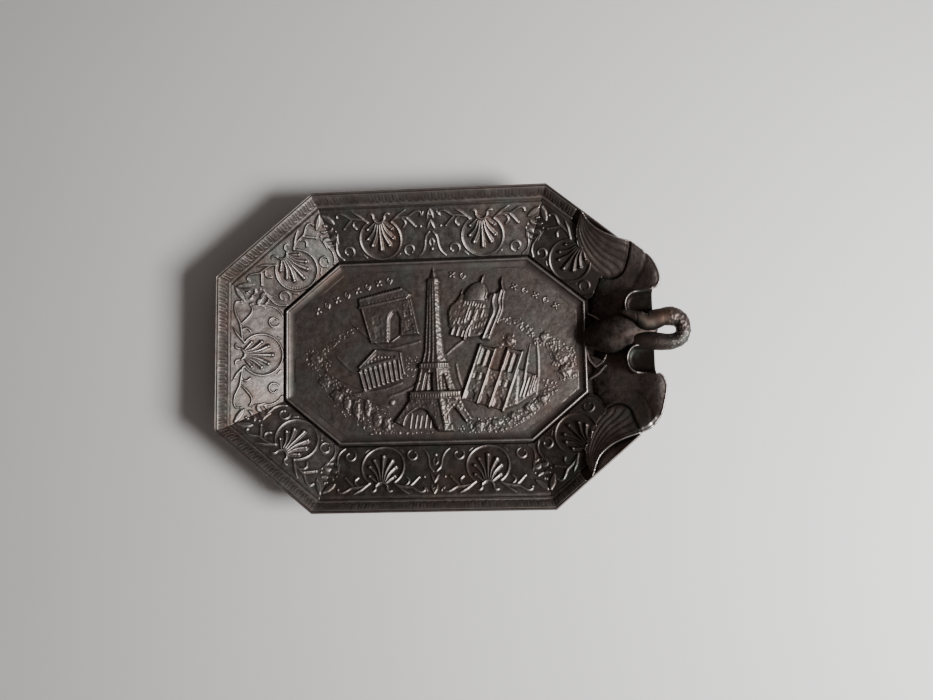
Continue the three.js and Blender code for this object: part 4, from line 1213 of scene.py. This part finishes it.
def end_solid(name, x, y, height, wear_and_painted_light, keep, outline):
    """A body at the swan's end, whose top is a grid that ends on the outline."""
    top = np.stack([x, y, height], -1)
    rim = edge_points(keep, x.shape)
    top[rim] = snapped(top[rim], outline)
    return solid_from_grid(name, top, np.clip(wear_and_painted_light, 0, 1), sink_to_deck, keep, flat_base=False)


def rest_outline(sign, spare):
    """The rounded inner end of a rest in plan, from its +Y side to its -Y side."""
    low, high = RESTS[sign]
    turn = np.radians(np.linspace(90, 270, 15))
    reach = REST_BEND_X - REST_END + spare
    middle, half = sign * (low + high) / 2, (high - low) / 2 + spare
    return np.stack([REST_BEND_X + reach * np.cos(turn), middle + half * np.sin(turn)], -1)


def make_wing(name, sign):
    """The cupped shoulder beside the swan, and the fan of long feathers that sweeps along the rim."""
    plan = {key: smooth([(x, sign * y) for x, y in line], 6) for key, line in WINGS[sign].items()}
    outer = np.vstack([plan["lead"], plan["edge"]])
    rest_end = rest_outline(sign, 0.3)[::sign]
    outline = np.vstack([outer, rest_end, plan["hem"], plan["trail"][-2::-1]])
    x, y, keep = plan_grid(outline, END_STEP)
    to_lead, to_trail = nearest(plan["lead"], x, y), nearest(plan["trail"], x, y)
    to_root, to_outer = nearest(plan["root"], x, y), nearest(outer, x, y)
    fan = signed_distance(np.vstack([plan["lead"], plan["root"], plan["trail"][::-1]]), x, y)
    on_fan = smoothstep(fan / 0.3 + 0.5)
    across = to_lead / (to_lead + to_trail + 1e-9)
    place = on_plane(x, y)

    # Each feather is a shallow ridge that overlaps the next one.
    band = across * FEATHERS + 0.12 * noise(place, 6, 131)
    feather = band % 1
    overlap = FEATHER_RISE * feather ** 0.7 * smoothstep((1 - feather) / 0.22)
    ridge = overlap * smoothstep((to_root - 0.2) / 1.6)
    quill = 0.05 * np.exp(-((feather - 0.5) / 0.08) ** 2)
    barbs = 0.02 * np.sin(to_root * 9 + 5 * np.abs(feather - 0.5))
    raised = 1.3 * (1 - across) ** 3 * np.sin(math.pi * np.clip(to_root / 16, 0, 1)) + 0.55
    long_feathers = raised + ridge + quill + barbs - 0.35 * (1 - smoothstep(to_trail / 0.8))

    # The shoulder is covered in small scales, and its first row overlaps the long feathers.
    scales = 0.045 * (1 - 2 * np.abs(noise(place * (1, 1.25, 1), 0.9, 141))) + 0.05 * noise(place, 3.0, 143)
    fold = 0.3 * np.exp(-((to_root - 4.4 - 0.6 * noise(place, 4, 144)) / 0.5) ** 2)
    shoulder = 1.0 + scales - fold * 0.6
    seam = 0.28 * np.exp(-(to_root / 0.26) ** 2)
    lip = 0.3 * np.exp(-((to_outer - 0.35) / 0.28) ** 2)
    on_brow = smoothstep((-y - 21.4) / 1.2) * (x > 59.9) * (to_outer < BROW_WIDTH)
    brow = (1 - to_outer / BROW_WIDTH) * on_brow
    turned_down = 0.9 * (1 - smoothstep(to_outer / 0.4))
    detail = long_feathers * on_fan + shoulder * (1 - on_fan) - seam + lip
    to_hem = nearest(plan["hem"], x, y)
    sunk = 1.5 * (1 - smoothstep(to_hem / 2.0)) * smoothstep((52 - x) / 3)
    height = wing_height(x, y) + detail - 1.3 * brow - turned_down * (1 - on_brow) - sunk
    height += 0.06 * noise(place, 2.2, 145)

    # Painted highlight: the lip along the outer edge and the brow are painted bright where the light
    # catches them.
    wear_and_painted_light = 0.5 + 0.5 * (ridge - 0.2) * on_fan + 2.2 * lip * (1 - smoothstep(to_outer / 0.9)) - 0.7 * seam
    # Painted shade: a dark line along the root of the fan, and the shoulder darker towards the hem, under
    # the swan's body.
    wear_and_painted_light -= 0.25 * np.exp(-(to_root / 0.9) ** 2) * on_fan
    wear_and_painted_light -= 0.4 * (1 - smoothstep(to_hem / 10)) * (1 - on_fan)
    wear_and_painted_light += 0.8 * on_brow + scales * 1.2 * (1 - on_fan) + 0.06 * noise(place, 1.3, 146)
    return end_solid(name + "_plumage", x, y, height, wear_and_painted_light, keep, outline)


def make_rest(name, sign):
    """A trough that holds a cigarette: open at the tray's edge, with a raised lip round its inner end."""
    inner = rest_outline(sign, 0)
    trough = np.vstack([(70.0, inner[0, 1]), inner, (70.0, inner[-1, 1])])
    rounded = rest_outline(sign, WALL)
    outline = np.vstack([(REST_MOUTH, rounded[0, 1]), rounded, (REST_MOUTH, rounded[-1, 1])])
    x, y, keep = plan_grid(outline, END_STEP)
    inside = signed_distance(trough, x, y)
    crest = np.interp(x, *REST_CREST)
    floor_height = REST_FLOOR + REST_SLOPE * (x - REST_END)
    round_wall = np.sqrt(np.clip(1 - np.clip(1 - inside / 1.7, 0, 1) ** 2, 0, 1))
    height = crest - (crest - floor_height) * round_wall * (inside > 0)
    at_end = smoothstep((61.8 - x) / 1.6)
    lip = 0.25 * np.exp(-((inside + 0.1) / 0.28) ** 2) * (0.3 + 0.7 * at_end)
    place = on_plane(x, y)
    streaks = 0.05 * noise(place * (0.15, 1, 1), 0.9, 151) + 0.03 * noise(place, 0.6, 152)
    # Painted highlight on the lip round the inner end, where the light catches it, and painted shade inside
    # the trough.
    wear_and_painted_light = 0.12 + 2.8 * lip * at_end + 0.5 * streaks - 0.4 * smoothstep((inside + 0.1) / 0.5)
    return end_solid(name + "_trough", x, y, height + lip + streaks, wear_and_painted_light, keep, outline)


TOES = [[(46.6, -1.2), (47.4, -4.0), (49.1, -6.3)], [(52.2, -3.0), (51.2, -4.9), (49.2, -6.4)],
        [(47.4, -9.9), (49.6, -8.6), (51.9, -6.2)]]
WEB = [(47.4, -2.6), (49.1, -6.2), (51.4, -4.4)]
FOOT_THICKNESS = np.array([0, 0, 1.5])


def make_leg(name, sign):
    """A webbed foot, spread out on the sloping end."""
    relief = Relief((44.0, -14.0), (55.0, 14.0), 0.12)
    for toe in TOES:
        relief.curve([(x, sign * -y) for x, y in toe], [0.3, 0.42, 0.34], 0.5)
    relief.fill([(x, sign * -y) for x, y in WEB][::-sign], 0.2, 0.4)
    x, y = relief.axes()
    ground = np.maximum(bed_height(x, y), wing_height(x, y) + 0.85)
    lift = relief.height - 0.4 * (1 - smoothstep(relief.height / 0.12))
    top = np.stack([x, y, ground + lift], -1)
    near = blurred((relief.height > 0.04).astype(float), 1) > 0.1
    keep = near[:-1, :-1] & near[1:, 1:]
    wear_and_painted_light = np.clip(0.42 + relief.height, 0, 1)

    def under(points):
        return points - FOOT_THICKNESS
    return solid_from_grid(name + "_relief", top, wear_and_painted_light, under, keep, flat_base=False)


# ------------------------------------------------------------------ the swan

# Centre lines, and at points shared out along them the radii across and upwards.
NECK_PATH = [(58.0, 0.9, 10.6), (61.0, 0.4, 12.0), (63.6, 0.1, 12.7), (66.2, -0.2, 13.0),
             (69.8, -0.45, 13.1),
             (72.7, 0.4, 13.2), (73.9, 2.8, 13.2), (73.2, 5.5, 13.3), (70.8, 6.95, 13.4), (67.8, 6.8, 13.4),
             (64.8, 6.0, 13.3)]
NECK_RADII = [(2.2, 1.6), (2.6, 2.1), (2.65, 2.25), (2.6, 2.3), (2.4, 2.3), (2.1, 2.3), (2.05, 2.3),
              (2.35, 2.3), (2.75, 2.35), (2.6, 2.2), (1.9, 1.7)]
HEAD_PATH = [(69.6, 6.9, 13.4), (68.2, 6.9, 13.4), (65.6, 6.1, 13.5), (63.2, 5.7, 13.9), (61.2, 6.8, 14.3),
             (59.2, 7.8, 14.1), (57.2, 8.6, 13.5), (55.4, 9.1, 12.8)]
HEAD_RADII = [(2.3, 1.9), (2.75, 2.35), (2.95, 2.35), (2.6, 2.1), (1.8, 1.7), (1.25, 1.15), (0.9, 0.85),
              (0.35, 0.3)]


def tube_grid(path, radii, spacing=0.22):
    """Rings of points round a path. Each of the radii is (across, upwards), shared out along it."""
    line = smooth(path, 12)
    line = resample(line, int(np.sum(np.linalg.norm(np.diff(line, axis=0), axis=1)) / spacing))
    radii = smooth(radii, 8)
    along = np.linspace(0, 1, len(radii))
    steps = np.linspace(0, 1, len(line))
    across, upward = (np.interp(steps, along, radii[:, i])[:, None, None] for i in (0, 1))
    tangent = np.gradient(line, axis=0)
    tangent /= np.linalg.norm(tangent, axis=1, keepdims=True)
    side = np.cross((0, 0, 1), tangent)
    side /= np.linalg.norm(side, axis=1, keepdims=True)
    up = np.cross(tangent, side)
    turn = np.linspace(0, 2 * math.pi, 56, endpoint=False)
    ring = np.stack([np.cos(turn), np.sin(turn)], -1)
    sideways = across * ring[None, :, :1] * side[:, None]
    return line[:, None] + sideways + upward * ring[None, :, 1:] * up[:, None]


def outward_of(grid):
    out = grid - grid.mean(1, keepdims=True)
    return out / np.maximum(np.linalg.norm(out, axis=-1, keepdims=True), 1e-6)


def stipple(grid, scale, seed):
    """Small round grains, as 0 to 1."""
    return np.clip(1.6 * noise(grid, scale, seed) + 0.9 * noise(grid, scale * 0.55, seed + 1), 0, 1)


STIPPLE_RISE = 0.19


def make_neck():
    """The neck, bent round into a flat loop: smooth where it leaves the body, stippled round the bend."""
    grid = tube_grid(NECK_PATH, NECK_RADII)
    rough = smoothstep((grid[..., 0] - 68.0) / 3.0) * smoothstep((grid[..., 1] + 4.5) / 4)
    grains = stipple(grid, 0.52, 101) * rough
    grid = grid + outward_of(grid) * (STIPPLE_RISE * grains + 0.05 * noise(grid, 1.6, 103))[..., None]
    along = smoothstep((grid[..., 0] - 62) / 6)
    wear_and_painted_light = np.clip(0.07 + 0.1 * along + 0.26 * grains, 0, 1)
    return loft("swan_neck_loop", grid, wear_and_painted_light, cap_ends=True)


def make_head():
    """The end of the neck, the head and the long bill laid back along the body."""
    grid = tube_grid(HEAD_PATH, HEAD_RADII, spacing=0.18)
    eye = np.exp(-(((grid[..., 0] - 62.0) / 0.45) ** 2 + ((grid[..., 1] - 8.0) / 0.6) ** 2))
    seam = np.exp(-((grid[..., 0] - 60.4) / 0.22) ** 2) * 0.12
    relief = noise(grid, 1.4, 111) * 0.05 + 0.2 * eye - seam
    grid = grid + outward_of(grid) * relief[..., None]
    # Painted highlight: the bill is painted paler where the light catches its top.
    bill_highlight = smoothstep((62.6 - grid[..., 0]) / 2)
    wear_and_painted_light = np.clip(0.05 + 0.18 * bill_highlight + relief, 0, 1)
    return loft("swan_head_and_bill", grid, wear_and_painted_light, cap_ends=True)


def ellipsoid_grid(centre, radii):
    """Rings of points over an ellipsoid."""
    polar = np.linspace(0.08, math.pi - 0.08, 28)[:, None]
    turn = np.linspace(0, 2 * math.pi, 40, endpoint=False)[None]
    along, across = np.cos(polar) + 0 * turn, np.sin(polar)
    return np.stack([along, across * np.cos(turn), across * np.sin(turn)], -1) * radii + np.array(centre)


def fused(name, grids, voxel, soften):
    """Closed skins melted into one."""
    parts = [loft(f"{name}_{i}", grid, np.full(grid.shape[:2], 0.5), cap_ends=True)
             for i, grid in enumerate(grids)]
    points, polygons = [], []
    for part in parts:
        base = len(points)
        points += [tuple(v.co) for v in part.data.vertices]
        polygons += [tuple(base + i for i in p.vertices) for p in part.data.polygons]
        bpy.data.objects.remove(part)
    mesh = bpy.data.meshes.new(name)
    mesh.from_pydata(points, [], polygons)
    obj = bpy.data.objects.new(name, mesh)
    bpy.context.scene.collection.objects.link(obj)
    remesh = obj.modifiers.new("skin", "REMESH")
    remesh.mode, remesh.voxel_size, remesh.use_smooth_shade = "VOXEL", voxel * MM, True
    relax = obj.modifiers.new("relax", "SMOOTH")
    relax.factor, relax.iterations = 0.5, soften
    shape = bpy.data.meshes.new_from_object(obj.evaluated_get(bpy.context.evaluated_depsgraph_get()))
    obj.modifiers.clear()
    obj.data = shape
    return obj


def roughened(obj, relief_of, lift, flat):
    """Moves a mesh's points along their normals by a relief, and stores the wear that goes with it."""
    mesh = obj.data
    count = len(mesh.vertices)
    place, normal = np.zeros(count * 3, np.float32), np.zeros(count * 3, np.float32)
    mesh.vertices.foreach_get("co", place)
    mesh.vertex_normals.foreach_get("vector", normal)
    place, normal = place.reshape(-1, 3) / MM, normal.reshape(-1, 3)
    relief = relief_of(place)
    mesh.vertices.foreach_set("co", ((place + normal * relief[:, None]) * MM).astype(np.float32).ravel())
    layer = mesh.attributes.new("wear_and_painted_light", "FLOAT", "POINT")
    layer.data.foreach_set("value", np.clip(flat + relief * lift, 0, 1).astype(np.float32))
    mesh.update()
    return obj


TRUNK_PATH = [(46.4, SWAN_Y, 4.6), (49.6, SWAN_Y, 6.7), (53.4, SWAN_Y + 0.1, 8.8),
              (57.6, SWAN_Y + 0.4, 10.1), (62.0, SWAN_Y + 0.5, 10.9), (65.4, SWAN_Y + 0.5, 11.4)]
TRUNK_RADII = [(2.8, 1.6), (4.6, 2.9), (5.6, 3.5), (5.5, 3.4), (4.6, 2.8), (3.0, 2.0)]
NAPE_PATH = [(57, 1.0, 11), (59.5, 0.6, 11.8), (61.5, 0.35, 12.0)]
NAPE_RADII = [(2.2, 2.0), (2.1, 1.9), (1.6, 1.5)]
TRUNK_VOXEL = 0.26
TRUNK_SMOOTHING = 26


def make_body():
    """The trunk, its shoulders, and the metal that ties it to the deck."""
    grids = [
        tube_grid(TRUNK_PATH, TRUNK_RADII, spacing=0.5),
        ellipsoid_grid((60.8, SWAN_Y + 2.6, 11.5), (5.6, 3.2, 1.9)),
        ellipsoid_grid((64.0, SWAN_Y + 0.8, 11.8), (3.0, 2.2, 1.9)),
        tube_grid(NAPE_PATH, NAPE_RADII),
    ]
    obj = fused("swan_trunk", grids, TRUNK_VOXEL, TRUNK_SMOOTHING)
    return roughened(obj, lambda p: 0.04 * noise(p, 0.8, 121) + 0.05 * noise(p, 2.4, 123), 1.0, 0.2)


# ------------------------------------------------------------------ finish

class Nodes:
    """Short names for wiring up a node tree."""

    def __init__(self, tree):
        self.tree = tree
        tree.nodes.clear()

    def add(self, kind, inputs=None, **settings):
        node = self.tree.nodes.new("ShaderNode" + kind)
        for key, value in settings.items():
            setattr(node, key, value)
        for key, value in (inputs or {}).items():
            if isinstance(value, bpy.types.NodeSocket):
                self.tree.links.new(value, node.inputs[key])
            else:
                node.inputs[key].default_value = value
        return node

    def ramp(self, factor, stops):
        node = self.add("ValToRGB", {"Fac": factor})
        elements = node.color_ramp.elements
        while len(elements) < len(stops):
            elements.new(0.5)
        for element, (place, colour) in zip(elements, stops):
            element.position = place
            element.color = (*colour, 1)
        return node.outputs["Color"]

    def spread(self, value, low, high, to_low, to_high):
        """The value, moved from one range to another."""
        ends = {"Value": value, "From Min": low, "From Max": high, "To Min": to_low, "To Max": to_high}
        return self.add("MapRange", ends).outputs[0]

    def mix(self, factor, a, b, mode="MIX"):
        node = self.add("Mix", {"Factor": factor, "A": a, "B": b}, data_type="RGBA", blend_type=mode)
        return node.outputs["Result"]


METALLIC = 0.92
GRAIN = 0.12
GREEN = (0.108, 0.145, 0.128, 1)        # verdigris, in patches at most this strong
GREEN_STRENGTH = 0.5
BROWN = (0.2, 0.108, 0.074, 1)          # copper showing through, likewise
BROWN_STRENGTH = 0.36


def make_metal(name, hollow, flat, proud, roughness):
    """Patinated cast white metal: dark in its hollows, worn bright where it stands proud."""
    material = bpy.data.materials.new(name)
    material.use_nodes = True
    n = Nodes(material.node_tree)
    place = n.add("TexCoord").outputs["Object"]

    def texture(per_metre, detail, rough=0.55):
        inputs = {"Vector": place, "Scale": per_metre, "Detail": detail, "Roughness": rough}
        return n.add("TexNoise", inputs).outputs["Fac"]
    broad, medium, fine = texture(55, 3), texture(420, 5, 0.62), texture(2600, 3)
    # The wear attribute carries real wear and patina, and on some pieces painted highlights and painted
    # shade as well.
    wear_and_painted_light = n.add("Attribute", attribute_name="wear_and_painted_light").outputs["Fac"]
    uneven = n.spread(medium, 0.3, 0.7, -0.06, 0.06)
    sparkle = n.spread(fine, 0.35, 0.75, -0.04, 0.06)
    level = n.add("Math", {0: wear_and_painted_light, 1: uneven}, operation="ADD").outputs[0]
    level = n.add("Math", {0: level, 1: sparkle}, operation="ADD").outputs[0]
    halfway = [(a + b) / 2 for a, b in zip(flat, proud)]
    colour = n.ramp(level, [(0.12, hollow), (0.45, flat), (0.75, halfway), (1.0, proud)])
    green = n.spread(texture(110, 4), 0.5, 0.72, 0.0, GREEN_STRENGTH)
    brown = n.spread(texture(75, 4), 0.52, 0.74, 0.0, BROWN_STRENGTH)
    shade = n.spread(broad, 0.3, 0.7, 0.88, 1.1)
    grey = n.add("CombineColor", {0: shade, 1: shade, 2: shade}).outputs[0]
    colour = n.mix(green, colour, GREEN)
    colour = n.mix(brown, colour, BROWN)
    colour = n.mix(1.0, colour, grey, "MULTIPLY")
    dull = n.spread(level, 0.1, 1.0, roughness + 0.12, roughness - 0.16)
    dull = n.add("Math", {0: dull, 1: n.spread(medium, 0.3, 0.7, -0.04, 0.04)}, operation="ADD").outputs[0]
    fine_bump = n.add("Bump", {"Height": fine, "Strength": GRAIN, "Distance": 0.00015}).outputs[0]
    both = {"Height": medium, "Strength": GRAIN, "Distance": 0.0004, "Normal": fine_bump}
    bump = n.add("Bump", both).outputs[0]
    metal = {"Base Color": colour, "Roughness": dull, "Metallic": METALLIC, "Normal": bump}
    n.add("OutputMaterial", {"Surface": n.add("BsdfPrincipled", metal).outputs[0]})
    return material


FLOOR_RADIUS = 4000
FLOOR_Z = -0.05


def make_floor():
    """A pale board to stand on, only a backdrop for the pictures."""
    material = bpy.data.materials.new("pale_board")
    material.use_nodes = True
    n = Nodes(material.node_tree)
    place = n.add("TexCoord").outputs["Object"]
    tone = n.add("TexNoise", {"Vector": place, "Scale": 9.0, "Detail": 3.0}).outputs["Fac"]
    colour = n.ramp(tone, [(0.3, (0.85, 0.842, 0.838)), (0.7, (0.88, 0.874, 0.871))])
    shader = n.add("BsdfPrincipled", {"Base Color": colour, "Roughness": 0.75})
    n.add("OutputMaterial", {"Surface": shader.outputs[0]})
    turn = np.linspace(0, 2 * math.pi, 64, endpoint=False)
    rim = np.stack([FLOOR_RADIUS * np.cos(turn), FLOOR_RADIUS * np.sin(turn), np.full(64, FLOOR_Z)], -1)
    floor = make_object("floor", rim, [np.arange(64)[None]], np.zeros(64))
    floor.data.materials.append(material)


def make_light(name, place, size, power, colour, target):
    """A rectangular lamp that faces its target."""
    lamp = bpy.data.lights.new(name, "AREA")
    lamp.shape, lamp.size, lamp.size_y = "RECTANGLE", size[0], size[1]
    lamp.energy, lamp.color = power, colour
    lamp.spread = math.radians(150)
    obj = bpy.data.objects.new(name, lamp)
    bpy.context.scene.collection.objects.link(obj)
    obj.location = place
    obj.rotation_euler = (Vector(target) - Vector(place)).to_track_quat("-Z", "Y").to_euler()


WINDOW_SIDE = (0.8, -0.12, 0.59)
ROOM_TONES = [(0.2, (0.034, 0.021, 0.017)), (0.62, (0.058, 0.042, 0.036)), (0.8, (0.102, 0.094, 0.09)),
              (1.0, (0.28, 0.273, 0.268))]


def make_world():
    """A dim room, brighter towards the window at +X."""
    world = bpy.data.worlds.new("room")
    bpy.context.scene.world = world
    world.use_nodes = True
    n = Nodes(world.node_tree)
    way = n.add("TexCoord").outputs["Generated"]
    towards = n.add("VectorMath", {0: way, 1: WINDOW_SIDE}, operation="DOT_PRODUCT").outputs["Value"]
    colour = n.ramp(n.spread(towards, -1.0, 1.0, 0.0, 1.0), ROOM_TONES)
    n.add("OutputWorld", {"Surface": n.add("Background", {"Color": colour, "Strength": 1.0}).outputs[0]})


# ------------------------------------------------------------------ the scene

LENS = 31.18
SENSOR_WIDTH = 36
CAMERA_PLACE = (0.0268, -0.0267, 0.2499)
CAMERA_TURN = (6.06, 4.04, -1.28)
LAMP_PLACE = (0.329, -0.102, 0.29)
LAMP_TARGET = (0.1, -0.03, 0)
LAMP_SIZE = (0.15, 0.14)
LAMP_POWER = 2.22
LAMP_COLOUR = (1.0, 0.992, 0.98)

camera_data = bpy.data.cameras.new("camera")
camera_data.lens = LENS
camera_data.sensor_width = SENSOR_WIDTH
camera_data.clip_start = 0.01
camera = bpy.data.objects.new("camera", camera_data)
camera.location = CAMERA_PLACE
camera.rotation_euler = [math.radians(angle) for angle in CAMERA_TURN]
bpy.context.scene.collection.objects.link(camera)
bpy.context.scene.camera = camera

make_world()
make_floor()
make_light("window", LAMP_PLACE, LAMP_SIZE, LAMP_POWER, LAMP_COLOUR, LAMP_TARGET)

# Each finish: the colours of its hollows, its flats and what stands proud, and its roughness.
TONES = {
    "dark_metal": ((0.06, 0.048, 0.044), (0.15, 0.122, 0.112), (0.4, 0.36, 0.34), 0.52),
    "worn_metal": ((0.07, 0.057, 0.053), (0.135, 0.112, 0.105), (0.48, 0.44, 0.42), 0.5),
    "relief_metal": ((0.06, 0.048, 0.044), (0.138, 0.113, 0.105), (0.54, 0.49, 0.47), 0.48),
    "frieze_metal": ((0.09, 0.075, 0.069), (0.106, 0.089, 0.083), (0.74, 0.69, 0.67), 0.45),
    # The swan's flats are paler than the dish's as painted light, since the swan's sloping end faces away
    # from the lamp.
    "swan_metal": ((0.035, 0.027, 0.024), (0.21, 0.17, 0.157), (0.66, 0.61, 0.59), 0.5),
}
FINISHES = {slot: make_metal(slot.replace("_", "_cast_"), *tones) for slot, tones in TONES.items()}

# Each sloping side: its number, and how far along it the middles of its roundels lie.
PANELS = {
    "frieze_back_right": (0, [0]),
    "frieze_back": (1, [-HALF_SPACING, HALF_SPACING]),
    "frieze_back_left": (2, [0]),
    "frieze_left": (3, [0]),
    "frieze_front_left": (4, [0]),
    "frieze_front": (5, [-HALF_SPACING, HALF_SPACING]),
    "frieze_front_right": (6, [0]),
}

pieces = [
    (make_dish(), "dish"), (make_plaque_frame(), "plaque_frame"), (make_rim_moulding(), "rim_moulding"),
]
pieces += [(make_facet(name + "_panel", side, roundels), name) for name, (side, roundels) in PANELS.items()]
pieces += make_plaque()
pieces += [
    (make_body(), "swan_body"), (make_neck(), "swan_neck"), (make_head(), "swan_head"),
    (make_wing("left_wing", 1), "left_wing"), (make_wing("right_wing", -1), "right_wing"),
    (make_leg("left_leg", 1), "left_leg"), (make_leg("right_leg", -1), "right_leg"),
    (make_rest("left_rest", 1), "left_cigarette_rest"),
    (make_rest("right_rest", -1), "right_cigarette_rest"),
]
SLOT_OF = {"dish": "dark_metal", "rim_moulding": "worn_metal", "plaque_frame": "worn_metal"}
for obj, node in pieces:
    if node in PANELS:
        slot = "frieze_metal"
    elif node == "plaque" or node in LANDMARKS:
        slot = "relief_metal"
    else:
        slot = SLOT_OF.get(node, "swan_metal")
    place_piece(obj, [node], FINISHES[slot])
